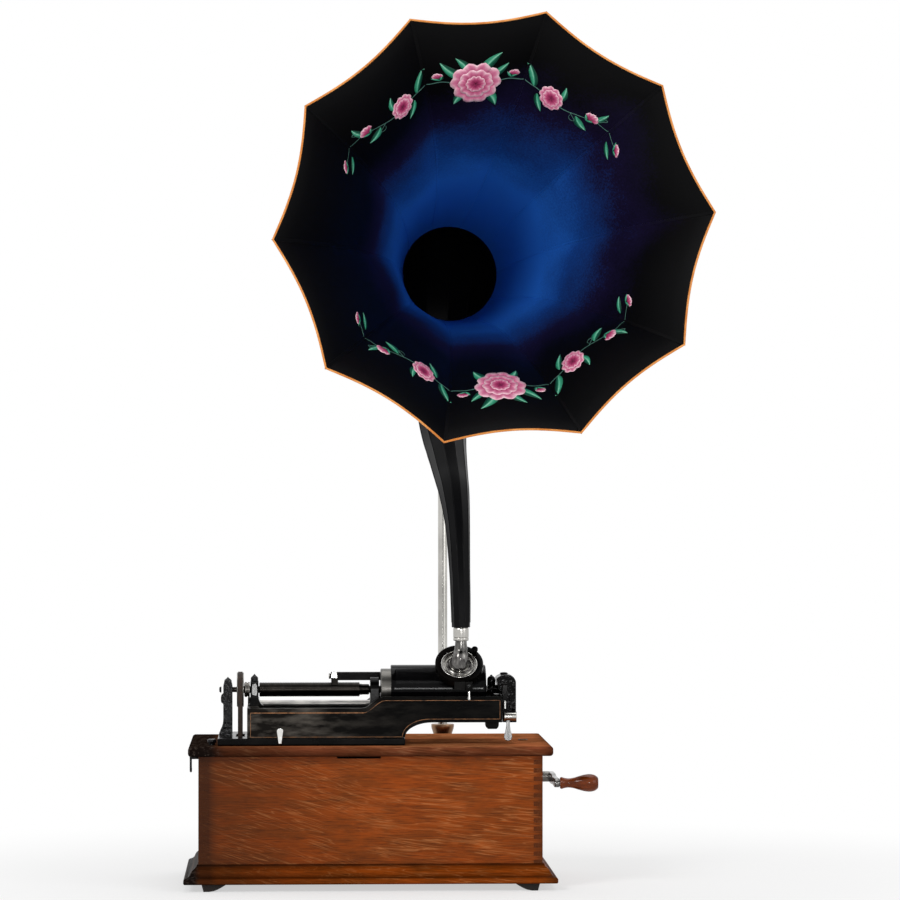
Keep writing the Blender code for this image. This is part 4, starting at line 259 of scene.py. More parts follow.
def quarterSawnOak(name, grain="x", half=193.5, foot=14, tone=0.0, darkEndFrom=None, heightShading=None, shadeTone=0.62,
                   roughness=0.36, specular=0.1, fade=1.0):
    # quarter-sawn white oak, fumed and shellacked: long pores with the grain and thin paler ray flecks that slant
    # across it; deep brown towards the edges, and darker all over towards the left as a painted shade
    made, tree, shader = startFinish(name, roughness, specular=specular)
    add, middle, way = partial(addNode, tree), tuple(caseCentre), grain.upper()

    def grained(along, across):  # a stretch that follows the grain
        long, short = 1000 / oakSizes[along], 1000 / oakSizes[across]
        return (long, short, short) if grain == "x" else (short, long, short)

    spot = add("SeparateXYZ", {"Vector": measured(tree, centre=middle)}, None)
    pores = add("TexNoise", {"Scale": 1.0, "Detail": 3.0, "Roughness": 0.6,
                             "Vector": measured(tree, grained("poreLength", "pore"), middle)})
    cloud = 1000 / oakSizes["cloud"]
    clouds = add("TexNoise", {"Scale": 1.0, "Detail": 6.0, "Roughness": 0.68, "Distortion": 0.3,
                              "Vector": measured(tree, (cloud, cloud, cloud * 4), middle)})
    ground = add("ValToRGB", {"Fac": clouds}, stops=[(0.22, oakTones["deep"]), (0.42, oakTones["brown"]),
                                                     (0.56, oakTones["orange"]), (0.76, oakTones["bright"])])
    poreShade = add("ValToRGB", {"Fac": pores}, stops=[(0.34, 0.42), (0.48, 0.95), (0.66, 1.18)])
    colour = add("Mix", {"Factor": 0.72, 6: ground, 7: poreShade}, 2, **multiply)
    # ray flecks: the contour lines of a stretched noise, steep on the left half of the board, nearly level right
    leftShare = add("MapRange", {"Value": spot["X"], "From Min": 0.06, "From Max": -0.06}, **smooth)
    lines = []
    for slant, band in ((oakSizes["fleckSlant"], 0.015), (oakSizes["rightSlant"], 0.022)):
        turn = math.radians(slant)
        noise = add("TexNoise", {"Scale": 1.0, "Detail": 2.0, "Roughness": 0.5, "Distortion": 0.5,
                                 "Vector": measured(tree, grained("fleckLength", "fleck"), middle,
                                                    (0, turn, 0) if grain == "x" else (turn, 0, 0))})
        lines.append(add("ValToRGB", {"Fac": noise}, stops=[(0.52 - band * 2, 0.0), (0.52, 0.5),
                                                            (0.52 + band, 0.12), (0.52 + band * 3, 0.0)]))
    flecks = add("Mix", {"Factor": leftShare, 6: lines[1], 7: lines[0]}, 2, **blend)
    sparse = add("TexNoise", {"Scale": 1.0, "Detail": 1.0, "Vector": measured(tree, (22, 22, 40), middle)})
    sparse = add("MapRange", {"Value": sparse, "From Min": 0.36, "From Max": 0.60, "To Min": 0.10})
    flecks = add("Math", {0: flecks, 1: sparse}, operation="MULTIPLY")
    colour = add("Mix", {"Factor": flecks, 6: colour, 7: oakTones["fleck"]}, 2, **blend)
    # darker at the ends, at the left edge and near the foot, and all over towards the left as a painted shade
    sideways = add("Math", {0: spot[way]}, operation="ABSOLUTE")
    total = None
    for source, low, high, most in ((sideways, half / 1000 * 0.93, half / 1000, 0.55),
                                    (spot["X"], -0.168, -0.194, 0.66),
                                    (spot["Z"], foot / 1000 + 0.030, foot / 1000, 0.25),
                                    (spot["X"], 0.02, -0.20, shadeTone)):
        share = add("MapRange", {"Value": source, "From Min": low, "From Max": high, "To Max": most}, **smooth)
        total = share if total is None else add("Math", {0: total, 1: share}, operation="ADD", use_clamp=True)
    uneven = add("MapRange", {"Value": clouds, "From Min": 0.3, "From Max": 0.7, "To Min": 0.76, "To Max": 0.96})
    total = add("Math", {0: total, 1: uneven}, operation="MULTIPLY", use_clamp=True)
    colour = add("Mix", {"Factor": total, 6: colour, 7: oakTones["shadeTone"]}, 2, **blend)
    if heightShading:  # painted light and shade by height: the moulding darker in its hollow and against the case, lighter on its round; the board's front edge darker towards its underside and its top face much lighter, as light falls from above
        height = add("MapRange", {"Value": spot["Z"], "From Min": heightShading["low"] / 1000,
                                  "From Max": heightShading["high"] / 1000})
        shade = add("ValToRGB", {"Fac": height}, stops=heightShading["stops"])
        colour = add("Mix", {"Factor": 1.0, 6: colour, 7: shade}, 2, **multiply)
    if darkEndFrom:  # darker to nearly black at the left end, flecked with grey specks that are painted glints of its lumpy polish
        darkEnd = add("MapRange", {"Value": spot["X"], "From Min": darkEndFrom[0] / 1000, "From Max": darkEndFrom[1] / 1000,
                                "To Max": 0.93}, **smooth)
        paintedGlint = add("TexNoise", {"Scale": 1.0, "Detail": 3.0, "Distortion": 0.8,
                                 "Vector": measured(tree, (230, 230, 320), middle)})
        paintedGlint = add("ValToRGB", {"Fac": paintedGlint}, stops=[(0.55, oakTones["darkEnd"]), (0.62, oakTones["paintedGlint"]),
                                                       (0.66, oakTones["darkEnd"])])
        colour = add("Mix", {"Factor": darkEnd, 6: colour, 7: paintedGlint}, 2, **blend)
    # end grain, where a face looks along the grain: darker
    facing = add("SeparateXYZ", {"Vector": add("TexCoord", out="Normal")}, way)
    isEnd = add("Math", {0: add("Math", {0: facing}, operation="ABSOLUTE"), 1: 0.75}, operation="GREATER_THAN")
    endShare = add("Math", {0: isEnd, 1: 0.4}, operation="MULTIPLY")
    colour = add("Mix", {"Factor": endShare, 6: colour, 7: oakTones["end"]}, 2, **blend)
    colour = add("HueSaturation", {"Value": 1.0 + tone, "Saturation": fade, "Color": colour})
    gloss = add("MapRange", {"Value": clouds, "To Min": roughness - 0.06, "To Max": roughness + 0.12})
    wire(tree, shader, colour, add("Bump", {"Strength": 0.16, "Distance": 0.0004, "Height": pores}), gloss)
    return made


def mottledFinish(name, dark, pale, roughness, spread, metallic=0.0, ior=1.5, coat=0.0, grit=1.2, relief=0.1,
                  patch=28, low=0.35, high=0.7, stretch=(1, 1, 1), specular=0.5, depth=0.3, across=None):
    # a finish whose colour wanders between two tones over patches and whose surface has a fine grit, both in mm;
    # across gives how its tone changes from one x to another
    made, tree, shader = startFinish(name, roughness, metallic, ior, coat, specular)
    add = partial(addNode, tree)
    patches = add("TexNoise", {"Scale": 1.0, "Detail": 4.0, "Roughness": 0.6,
                               "Vector": measured(tree, [s * 1000 / patch for s in stretch])})
    colour = add("ValToRGB", {"Fac": patches}, stops=[(low, dark), (high, pale)])
    if across:
        spot = add("SeparateXYZ", {"Vector": measured(tree, centre=tuple(caseCentre))}, "X")
        reach = add("MapRange", {"Value": spot, "From Min": across["left"] / 1000,
                                 "From Max": across["right"] / 1000})
        shade = add("ValToRGB", {"Fac": reach}, stops=across["stops"])
        colour = add("Mix", {"Factor": 1.0, 6: colour, 7: shade}, 2, **multiply)
    fine = add("TexNoise", {"Scale": 1.0, "Detail": 2.0,
                            "Vector": measured(tree, [s * 1000 / grit for s in stretch])})
    gloss = add("MapRange", {"Value": patches, "To Min": roughness - spread, "To Max": roughness + spread})
    lift = add("Bump", {"Strength": relief, "Distance": depth / 1000, "Height": fine})
    wire(tree, shader, colour, lift, gloss)
    return made


# each piece of the case's oak is darker all over towards the left, a painted shade
oakFront = quarterSawnOak("quarterSawnOakFront", tone=-0.02, specular=0.07)
oakSide = quarterSawnOak("quarterSawnOakSide", grain="y", half=105, specular=0.07)
# the board's painted light and shade by height: its front edge darker towards its underside, its top face much lighter
# where light falls from above
boardHeightShading = {"low": 150.5, "high": 161.9,
                "stops": [(0, 0.16), (0.3, 0.24), (0.75, 0.42), (0.93, 0.55), (1, (1.7, 2.1, 1.8))]}
oakBoard = quarterSawnOak("quarterSawnOakBoard", half=205, foot=90, tone=0.7, darkEndFrom=(-160, -184), shadeTone=0.8,
                          roughness=0.6, specular=0.0, fade=0.9, heightShading=boardHeightShading)
# the moulding's painted shade by height: darker in its hollow and against the case, lighter on its round
mouldingHeightShading = {"low": 8, "high": 29.5,
                   "stops": [(0, 0.55), (0.10, 1.1), (0.26, 1.05), (0.34, 0.42), (0.46, 0.75), (0.62, 1.05),
                             (0.84, 0.8), (0.93, 0.3), (1, 0.25)]}
oakMoulding = quarterSawnOak("quarterSawnOakMoulding", half=210, foot=-8, tone=-0.14, darkEndFrom=(-190, -199),
                             shadeTone=0.7, roughness=0.46, specular=0.02, heightShading=mouldingHeightShading)
# stained beech of the feet: nearly black, dull and scuffed
stainedFoot = mottledFinish("stainedBeechFoot", "#0c0907", "#1d130c", 0.6, 0.1, grit=0.9, relief=0.25,
                            specular=0.2)
# cast iron under stoved black japan: deep gloss with a slight orange peel over the casting's skin. Its mirror
# strength is set low, as on all the blacks here, because the white studio would otherwise grey them
japan = mottledFinish("japannedCastIron", "#030303", "#0d0b0a", 0.2, 0.07, grit=3, relief=0.16, specular=0.05)
# the flat front of the casting: the same japan with a painted reflection, lighter grey-brown in streaks at its left,
# and a painted shade that darkens it towards its right
paintedReflection = {"left": -139, "right": 148.4, "stops": [(0, 3.9), (0.24, 3.0), (0.42, 0.9), (0.7, 0.2)]}
japanWithPaintedReflection = mottledFinish("japanOnCastingPaintedReflection", "#060504", "#34312d", 0.3, 0.08, grit=3, relief=0.2, patch=22,
                            low=0.44, high=0.74, stretch=(0.5, 1, 1.7), specular=0.025, across=paintedReflection)
# the same japan, brushed thick over rough castings: lumpy, with sharp small lights
lumpyJapan = mottledFinish("brushedJapanOnCasting", "#020202", "#080707", 0.12, 0.04, grit=6.5, relief=1.0,
                           patch=9, specular=0.08, depth=2.4)
# the same japan where oil and hands have dulled it to a grey black
wornJapan = mottledFinish("wornJapannedIron", "#060606", "#1d1d1f", 0.2, 0.08, grit=3.8, relief=1.0, patch=6,
                          specular=0.16, depth=1.3)
# nickel electroplate on polished steel: warm silver, a little clouded by age
nickel = mottledFinish("nickelPlatedSteel", "#a3a19c", "#c2c0bb", 0.2, 0.05, 1, grit=1, relief=0.04, patch=34)
# the plating of the reproducer's dish: silver, mottled strongly light and dark in small clouds as a painted reflection
nickelWithPaintedReflection = mottledFinish("nickelPlatePaintedReflection", "#a3a29f", "#e6e4df", 0.14, 0.05, 1, relief=0.05, patch=9,
                           low=0.3)
# the reproducer's neck and the crank arm, darkened by hands
darkNickel = mottledFinish("handledNickelPlate", "#3a3938", "#82807d", 0.18, 0.05, 1, grit=1.6, relief=0.12,
                           patch=6, stretch=(1.4, 1.4, 0.6))
# drum of the mandrel: turned, then plated thin
drumNickel = mottledFinish("turnedNickelPlate", "#575552", "#6d6b67", 0.3, 0.05, 1, grit=0.9, relief=0.08,
                           patch=16, stretch=(1, 0.15, 0.15))
# fresher plating on the parts that hands keep polished: brighter and more even
brightNickel = mottledFinish("polishedNickelPlate", "#b4b3b0", "#dcdbd7", 0.16, 0.04, 1, grit=1, relief=0.03,
                             patch=30)
# nickel that has worn and tarnished to a darker grey
dullNickel = mottledFinish("tarnishedNickel", "#62605d", "#817e79", 0.33, 0.06, 1, grit=1.1, patch=16)
# drawn steel rod of the guide, rubbed grey by the carriage
drawnSteel = mottledFinish("drawnSteelRod", "#92908d", "#bebbb6", 0.4, 0.06, 1, grit=0.8, relief=0.08, patch=9,
                           stretch=(0.4, 1, 1))
# turned and ground steel, kept oiled: grey with turning lines round it, coarser than the real 0.2 mm ones
steel = mottledFinish("turnedSteel", "#6e6e6e", "#a9a8a6", 0.28, 0.08, 1, grit=0.8, patch=6,
                      stretch=(1, 0.15, 0.15))
# blued and oiled steel of the feed screw: almost black with a thin bright line
bluedSteel = mottledFinish("oiledBlackSteel", "#12110f", "#2f2c29", 0.12, 0.06, 1, grit=0.8, patch=5,
                           stretch=(1, 0.2, 0.2))
# lacquered brass of the governor: clear yellow, faintly clouded
brass = mottledFinish("lacqueredBrass", "#8a6526", "#c59a4a", 0.26, 0.08, 1, grit=0.9, relief=0.08, patch=6)
# the crane's socket: nickel tinted brown in patches, a painted reflection of the oak case in it
socketPaintedOakReflection = mottledFinish("nickelPaintedOakReflection", "#6f4f38", "#94795f", 0.3, 0.08, 1, grit=1.4, patch=22)
# brass of the small ferrule in the board, brown with polish that has dried on it
brownBrass = mottledFinish("polishBrownedBrass", "#3b2614", "#6b4a2c", 0.5, 0.08, 1, grit=0.8, patch=3)
# oak-tanned belt leather: dark brown, matt, with a pebbled grain of about 1 mm
leather = mottledFinish("oakTannedLeather", "#16100c", "#3a2a20", 0.62, 0.08, grit=1, relief=0.45, patch=5,
                        specular=0.25)
# maple handle, stained red-brown under varnish: smooth, with the grain showing along it
handleWood = mottledFinish("varnishedMaple", "#3f1804", "#7d370a", 0.16, 0.04, coat=0.15, grit=0.7, relief=0.03,
                           patch=9, stretch=(0.25, 1, 1), specular=0.12)
# copper-gold bronze powder in size, laid on by brush: dull, rubbed through in places
gilt = mottledFinish("brushedBronzePaint", "#1f130c", "#a8744c", 0.45, 0.1, grit=0.6, relief=0.12, patch=6,
                     low=0.28, high=0.58, specular=0.2)
# moulded black wax: glossy, but the grooves break the gloss into fine rings
recordWax = mottledFinish("mouldedBlackWax", "#030304", "#080708", 0.09, 0.02, ior=1.45, grit=2, relief=0.02,
                          specular=0.08)
# orange-gold paint of the horn's rim line
rimGold = mottledFinish("rimGoldPaint", "#cc7a34", "#eba35e", 0.45, 0.06, grit=0.9, relief=0.04, patch=26,
                        specular=0.15)
print("finishes made")

# camera, floor and lights

view = {"place": (-0.175995, -4.406497, 0.4593), "yaw": 0.0424, "pitch": 0.008, "lens": 3908.66 / 900 * 36}
forward = Vector((math.sin(view["yaw"]) * math.cos(view["pitch"]), math.cos(view["yaw"]) * math.cos(view["pitch"]),
                  math.sin(view["pitch"])))
rightWay = Vector((math.cos(view["yaw"]), -math.sin(view["yaw"]), 0))
lensData = bpy.data.cameras.new("studioCamera")
lensData.lens, lensData.sensor_width = view["lens"], 36
camera = placed("studioCamera", lensData)
turned = Matrix((rightWay, rightWay.cross(forward), -forward)).transposed().to_4x4()
camera.matrix_world = Matrix.Translation(view["place"]) @ turned
scene.camera = camera
scene.view_settings.view_transform = "Standard"

studio = {"worldStrength": 0.33, "floorSize": 9, "shadowReach": 0.34, "whiteFrom": 0.95, "nearWhite": 0.55}
lamps = {  # place, aim, size and watts; the front lamp stands behind the camera, so that shafts show a line of light
    "keyLamp": ((-2.2, -2.6, 2.4), (0, 0, 0.4), 1.3, 58), "fillLamp": ((2.6, -2.2, 1.4), (0, 0, 0.4), 2.4, 30),
    "topLamp": ((0.2, 0.6, 3.0), (0, 0, 0.4), 2.4, 28), "frontLamp": ((0.2, -5.2, 0.75), (0, 0, 0.5), 0.55, 35)}


def seenShare(tree):  # one for the rays that shall find plain white: from the camera, a mirror or through glass
    rays = addNode(tree, "LightPath", out=None)
    seen = addNode(tree, "Math", {0: rays["Is Camera Ray"], 1: rays["Is Glossy Ray"]}, operation="MAXIMUM")
    return addNode(tree, "Math", {0: seen, 1: rays["Is Transmission Ray"]}, operation="MAXIMUM")


world = bpy.data.worlds.new("paleStudio")
scene.world = world
world.use_nodes = True
air = world.node_tree
sky = air.nodes["Background"]
sky.inputs["Color"].default_value = (1, 1, 1, 1)
air.links.new(addNode(air, "MapRange", {"Value": seenShare(air), "To Min": studio["worldStrength"]}),
              sky.inputs["Strength"])

floorFinish, floorTree, floorShader = startFinish("palePaperFloor", 0.9, specular=0.0)
add = partial(addNode, floorTree)
paper = add("TexNoise", {"Scale": 900.0, "Detail": 2.0, "Vector": measured(floorTree)})
paper = add("ValToRGB", {"Fac": paper}, stops=[(0.3, "#f7f7f7"), (0.7, "#ffffff")])
floorTree.links.new(paper, floorShader.inputs["Base Color"])
# far from the object the paper is plain white to the eye and to mirrors; near it, it still takes the shadow
away = add("VectorMath", {0: measured(floorTree)}, "Value", operation="LENGTH")
white = add("MapRange", {"Value": away, "From Min": studio["shadowReach"], "From Max": studio["whiteFrom"],
                         "To Min": studio["nearWhite"]}, **smooth)
share = add("Math", {0: white, 1: seenShare(floorTree)}, operation="MULTIPLY")
glow = add("Emission", {"Color": (1, 1, 1, 1), "Strength": 1.0})
mixed = add("MixShader", {0: share, 1: floorShader.outputs[0], 2: glow})
floorTree.links.new(mixed, floorTree.nodes["Material Output"].inputs["Surface"])
floorData = bpy.data.meshes.new("studioFloor")
floorHalf = studio["floorSize"] / 2
floorData.from_pydata([(-sx * floorHalf, -sy * floorHalf, -0.0002) for sx, sy in quadrants], [], [(0, 1, 2, 3)])
floor = placed("studioFloor", floorData)
floorData.materials.append(floorFinish)

for name, (place, aim, size, watts) in lamps.items():
    data = bpy.data.lights.new(name, "AREA")
    data.shape, data.size, data.energy = "DISK", size, watts
    lamp = placed(name, data)
    lamp.location = place
    lamp.rotation_euler = (Vector(aim) - Vector(place)).to_track_quat("-Z", "Y").to_euler()
print("camera, floor and lights made")

# CAD nodes that are shown as they are

for surface, names in ((oakFront, ("front_panel", "back_panel", "bottom_board")), (oakBoard, ("motor_board",)),
                       (oakSide, ("left_panel", "right_panel")), (leather, ("drive_belt",)),
                       (stainedFoot, [f"foot_{y}_{x}" for y in ("front", "back") for x in ("left", "right")]),
                       (japan, ("motor_frame",)), (steel, ("drive_pulley", "spring_barrel")),
                       (brass, ("governor",))):
    for name in names:
        slots = nodes[name].data.materials
        slots.clear()
        slots.append(surface)

# the case

moulding = {"halfLength": 193.5, "halfDepth": 105, "bottom": 8, "height": 21.5, "reach": 16.5, "gap": 0.3}
# an ogee: square foot, hollow, round, and a bead against the case
ogee = ((0.93, 0), (1, 0.05), (1, 0.24), (0.90, 0.31), (0.70, 0.36), (0.56, 0.46), (0.50, 0.58), (0.40, 0.71),
        (0.24, 0.81), (0.13, 0.88), (0.13, 0.94), (0.07, 1))
run = eased([(out * moulding["reach"], up * moulding["height"]) for out, up in ogee], 1.1, 4)
profile = [(moulding["gap"], 0), *run, (moulding["gap"], moulding["height"])]
rings = [[at(sx * (moulding["halfLength"] + out), sy * (moulding["halfDepth"] + out), moulding["bottom"] + up)
          for sx, sy in quadrants] for out, up in profile]
newPiece("ogeeMoulding", skin(bmesh.new(), rings, closedRun=True), oakMoulding, "case", ["base_moulding"], sharp=35)

ferrule = {"place": (176.9, -10, 150.5), "rim": 5.6, "bore": 2.4, "sleeve": 3.7, "deep": 11.3, "lip": 0.9,
           "mouth": 4.4, "mouthDeep": 1.2}
deep, top = ferrule["deep"], ferrule["deep"] + ferrule["lip"]
profile = [(0, ferrule["bore"]), (0, ferrule["sleeve"]), (deep, ferrule["sleeve"]), (deep, ferrule["rim"]),
           (top, ferrule["rim"]), (top, ferrule["mouth"]), (deep - ferrule["mouthDeep"], ferrule["bore"])]
newPiece("brassFerrule", lathe(profile, ferrule["place"], corner=0.3), brownBrass, "case", ["board_ferrule"])

# the strips glued up the inner corners, with the glue that fills the finger joints to just under the surface
glueBlock = {"side": 18.2, "low": 15, "high": 150, "wall": 10, "bury": 9.85}
inX, inY = (v - glueBlock["wall"] + glueBlock["bury"] for v in (moulding["halfLength"], moulding["halfDepth"]))
mesh = bmesh.new()
for sx, sy in ((1, 1), (1, -1), (-1, 1), (-1, -1)):
    box(sorted((sx * inX, sx * (inX - glueBlock["side"]))), sorted((sy * inY, sy * (inY - glueBlock["side"]))),
        (glueBlock["low"], glueBlock["high"]), mesh)
newPiece("glueBlocks", mesh, oakSide, bevel=0.4)

plate = {"place": (193.8, 0, 119), "radius": 12, "thick": 3, "bore": 6.52}
profile = [(0, plate["bore"]), (0, plate["radius"]), (1.2, plate["radius"]), (2, 10.8), (2.3, 8.8),
           (plate["thick"], 8.2), (plate["thick"], plate["bore"])]
newPiece("crankEscutcheon", lathe(profile, plate["place"], (1, 0, 0)), dullNickel, "case", ["crank_escutcheon"])
print("case made")

# the casting that carries the works, and its bed plate

casting = {"left": -139, "right": 148.4, "front": -92, "back": 24, "lowTop": 203.5, "highTop": 216.4, "bottom": 170.3,
           "wall": 6, "leftWall": 13, "stepStart": -9.7, "stepEnd": 15, "armStart": 38.8, "armUnder": 187.2,
           "bend": 31, "webLeft": 0.5, "webRight": 10.8, "webTop": 190}
pinstripe = {"left": 3.8, "right": 2.3, "under": 3.8, "lowTop": 5.2, "highTop": 4.4, "foot": 0.8, "width": 0.42,
             "heavy": 0.85, "thick": 0.12, "stepShift": 1.5, "bendShift": -3}
shaft = {"y": -38, "z": 222}
rodLine = {"y": 6, "z": 203.5, "radius": 4}


def frontRuns(low, mid, high, under, stepShift=0, bendShift=0, steps=14):
    # the step in the casting's top edge and the hollow under its arm, as runs of (x, z) points
    c, shares = casting, [k / steps for k in range(steps + 1)]
    step = [(c["stepStart"] + stepShift + (c["stepEnd"] - c["stepStart"]) * s,
             mid + (high - mid) * (3 - 2 * s) * s ** 2) for s in shares]
    bend = [(c["armStart"] + bendShift + c["bend"] * (1 - math.cos(a)), low + (under - low) * math.sin(a))
            for a in (s * math.pi / 2 for s in reversed(shares))]
    return step, bend


def alongShaft(profile, x, y=shaft["y"], z=shaft["z"], sides=72, corner=0.35):
    return lathe(profile, (x, y, z), (1, 0, 0), sides, corner)


c, p = casting, pinstripe
step, bend = frontRuns(c["bottom"], c["lowTop"], c["highTop"], c["armUnder"])
outline = [(c["left"], c["bottom"]), (c["left"], c["lowTop"]), *step, (c["right"], c["highTop"]),
           (c["right"], c["armUnder"]), *bend]
inner = (c["front"] + c["wall"], c["back"] - c["wall"])
boss = {"left": 130, "width": 15, "drop": 7.7, "back": 18}
shares = ((0, 1), (0, 0.4), (0.06, 0.16), (0.2, 0), (0.82, 0), (0.95, 0.16), (1, 0.4), (1, 1))
tall = boss["drop"] + c["wall"] / 2
bossMesh = slab([(boss["left"] + boss["width"] * u, c["armUnder"] - boss["drop"] + tall * v) for u, v in shares], "y",
                c["front"] + c["wall"] / 2, c["front"] + boss["back"])
lug = alongShaft(rod(13, 7.5), c["left"], rodLine["y"], rodLine["z"], 64, 0.01)
mesh = carve(slab(outline, "y", c["front"], c["back"]), "DIFFERENCE",
             box((c["left"] + c["leftWall"], c["webLeft"]), inner, (160, 225)),
             box((c["webRight"], c["right"] - c["wall"]), inner, (160, 225)),
             box((c["webLeft"] - 5, c["webRight"] + 5), inner, (c["webTop"], 225)),
             box((c["left"] - 5, c["left"] + c["leftWall"] + 5), (-49.3, -26.7), (186, 225)))
mesh = carve(mesh, "UNION", bossMesh, lug)
mesh = carve(mesh, "DIFFERENCE", alongShaft(rod(300, 4.4), c["left"] - 5, rodLine["y"], rodLine["z"], 64, 0.01))
newPiece("bodyCasting", mesh, japanWithPaintedReflection, "case", ["body_casting"], bevel=0.8)
bed = carve(box((-172.2, 39), (-98, 30), (161.8, 170)), "DIFFERENCE",
            box((-151.55, -142.65), (-62.1, -13.9), (150, 180)))
newPiece("bedPlate", bed, japan, "case", ["bedplate"], bevel=1.5, segments=4)

# painted lines on the casting's front, along (x, z) points
left, right = c["left"] + p["left"], c["right"] - p["right"]
low, mid, high = c["bottom"] + p["foot"], c["lowTop"] - p["lowTop"], c["highTop"] - p["highTop"]
under = c["armUnder"] + p["under"]
step, bend = frontRuns(low, mid, high, under, p["stepShift"], p["bendShift"], 12)
for name, points, width in (("TopLeft", [(left, mid), step[0]], p["heavy"]),
                            ("Top", [*step, (right, high)], p["width"]),
                            ("Right", [(right, high), (right, under)], p["width"]),
                            ("Under", [(right, under), *bend], p["width"]),
                            ("Foot", [bend[-1], (left, low)], p["width"]),
                            ("Left", [(left, low), (left, mid)], p["width"])):
    points, rings, front = [Vector(point) for point in points], [], c["front"]
    for index, here in enumerate(points):
        ahead = (points[min(index + 1, len(points) - 1)] - points[max(index - 1, 0)]).normalized()
        side = Vector((-ahead.y, ahead.x)) * (width / 2)
        a, b = here + side, here - side
        rings.append([at(a.x, front, a.y), at(b.x, front, b.y), at(b.x, front - p["thick"], b.y),
                      at(a.x, front - p["thick"], a.y)])
    newPiece("stripe" + name, skin(bmesh.new(), rings, capped=True), gilt)

newPiece("guideRod", alongShaft(rod(287.4, rodLine["radius"]), c["left"], rodLine["y"], rodLine["z"]), drawnSteel,
         "case", ["guide_rod"])

post = {"left": -166.5, "wide": 10.4, "foot": 170.3, "top": 233, "half": 9}
left, wide = post["left"], post["wide"]
spread = ((1, 0), (0.9, 0.05), (0.45, 0.13), (0.12, 0.20), (0, 0.28))
bossRun = ((0, 0.575), (0.7, 0.59), (1, 0.62), (1, 0.71), (0.7, 0.74), (0, 0.755))
crown = ((0, 0.90), (0.14, 1), (0.86, 1), (1, 0.90), (1, 0))
outline = [(left - 5 * u, v) for u, v in spread] + [(left - 2.7 * u, v) for u, v in bossRun]
outline += [(left + wide * u, v) for u, v in crown]
outline = eased([(x, post["foot"] + (post["top"] - post["foot"]) * v) for x, v in outline], 1.2, closed=True)
newPiece("pivotPost", slab(outline, "y", shaft["y"] - post["half"], shaft["y"] + post["half"]), wornJapan, "case",
         ["pivot_post"], bevel=1)
newPiece("postTip", lathe([(0, 0), (0, 4.2), (3, 4.2), (3.9, 3.2), (5.4, 1.3), (6.83, 0)],
                          (left + wide / 2, shaft["y"], post["top"] - 3.2), corner=0.5), wornJapan)
newPiece("postCentre", alongShaft([(-4, 0), (-4, 3), (4.6, 3), (9.1, 0)], left + wide, corner=0.2), bluedSteel)
newPiece("postScrew", alongShaft([(0, 0), (0.2, 2.6), (1.4, 3.4), (2.6, 3.4), (2.6, 0)], left - 2.6 - 2.2,
                                 corner=0.4), wornJapan)


def makeBearing(name, left, width, depth, seat, head, replaced):
    arc = [(shaft["y"] + head * math.cos(a), shaft["z"] + head * math.sin(a))
           for a in (math.pi * k / 24 for k in range(25))]
    front, back, low = shaft["y"] - depth / 2, shaft["y"] + depth / 2, seat + (shaft["z"] - seat) / 4
    mesh = slab([(front, seat), (back, seat), (back, low), *arc, (front, low)], "x", left, left + width)
    mesh = carve(mesh, "DIFFERENCE", alongShaft(rod(width + 8, 4.4), left - 4, corner=0.01))
    newPiece(name, mesh, japan, "case", [replaced], bevel=0.9)


bearing = {"left": -135.7, "width": 9.2, "depth": 22, "seat": 186.3, "head": 10.5}
makeBearing("leftBearing", *bearing.values(), "left_bearing")
left, right, half = bearing["left"], bearing["left"] + bearing["width"], bearing["depth"] / 2
shares = ((1, 0), (0.9, 0.08), (0.5, 0.28), (0.2, 0.58), (0, 1))
foot = [(left - 1.8 * u, 203.8 + 9.2 * v) for u, v in shares]
foot += [(right + 5.5 * u, 203.8 + 9.2 * v) for u, v in reversed(shares)]
newPiece("leftBearingFoot", slab(foot, "y", shaft["y"] - half, shaft["y"] + half), japan, bevel=0.5)
newPiece("leftBearingOilCap", lathe([(-4, 0), (-4, 4.2), (2.5, 4.2), (3.7, 3.8), (5.2, 2), (7.5, 0)],
                                    (left + bearing["width"] / 2, shaft["y"], shaft["z"] + bearing["head"]),
                                    corner=0.5), wornJapan)
wear = eased([(-134.4, 216), (-127.9, 215.2), (-128.2, 229.4), (-133.6, 228.6)], 2.6, 5, True)
newPiece("bearingWear", slab(wear, "y", -49.6, -48.6), steel, bevel=0.4)
makeBearing("middleBearing", 0.5, 10.3, 30, 190.3, 13.5, "middle_bearing")
print("casting and bearings made")

# the arbor: feed screw, pulley, mandrel and record, which turn together

arbor = {"left": -151.5, "pulleyLeft": -151, "mandrelLeft": 12.5}
thread = {"left": -125.5, "right": -10, "radius": 8.1, "pitch": 1.9, "depth": 0.3, "crest": 0.5}
hub = [(8.8, 4.1), (8.8, 6.9), (9.7, 8.6), (11.6, 8.6), (12, 7.6), (12.8, 7.6), (13.2, 8.6), (15, 8.6), (15, 4.1)]
newPiece("beltHub", alongShaft(hub, arbor["left"], corner=0.2), dullNickel, "arbor")
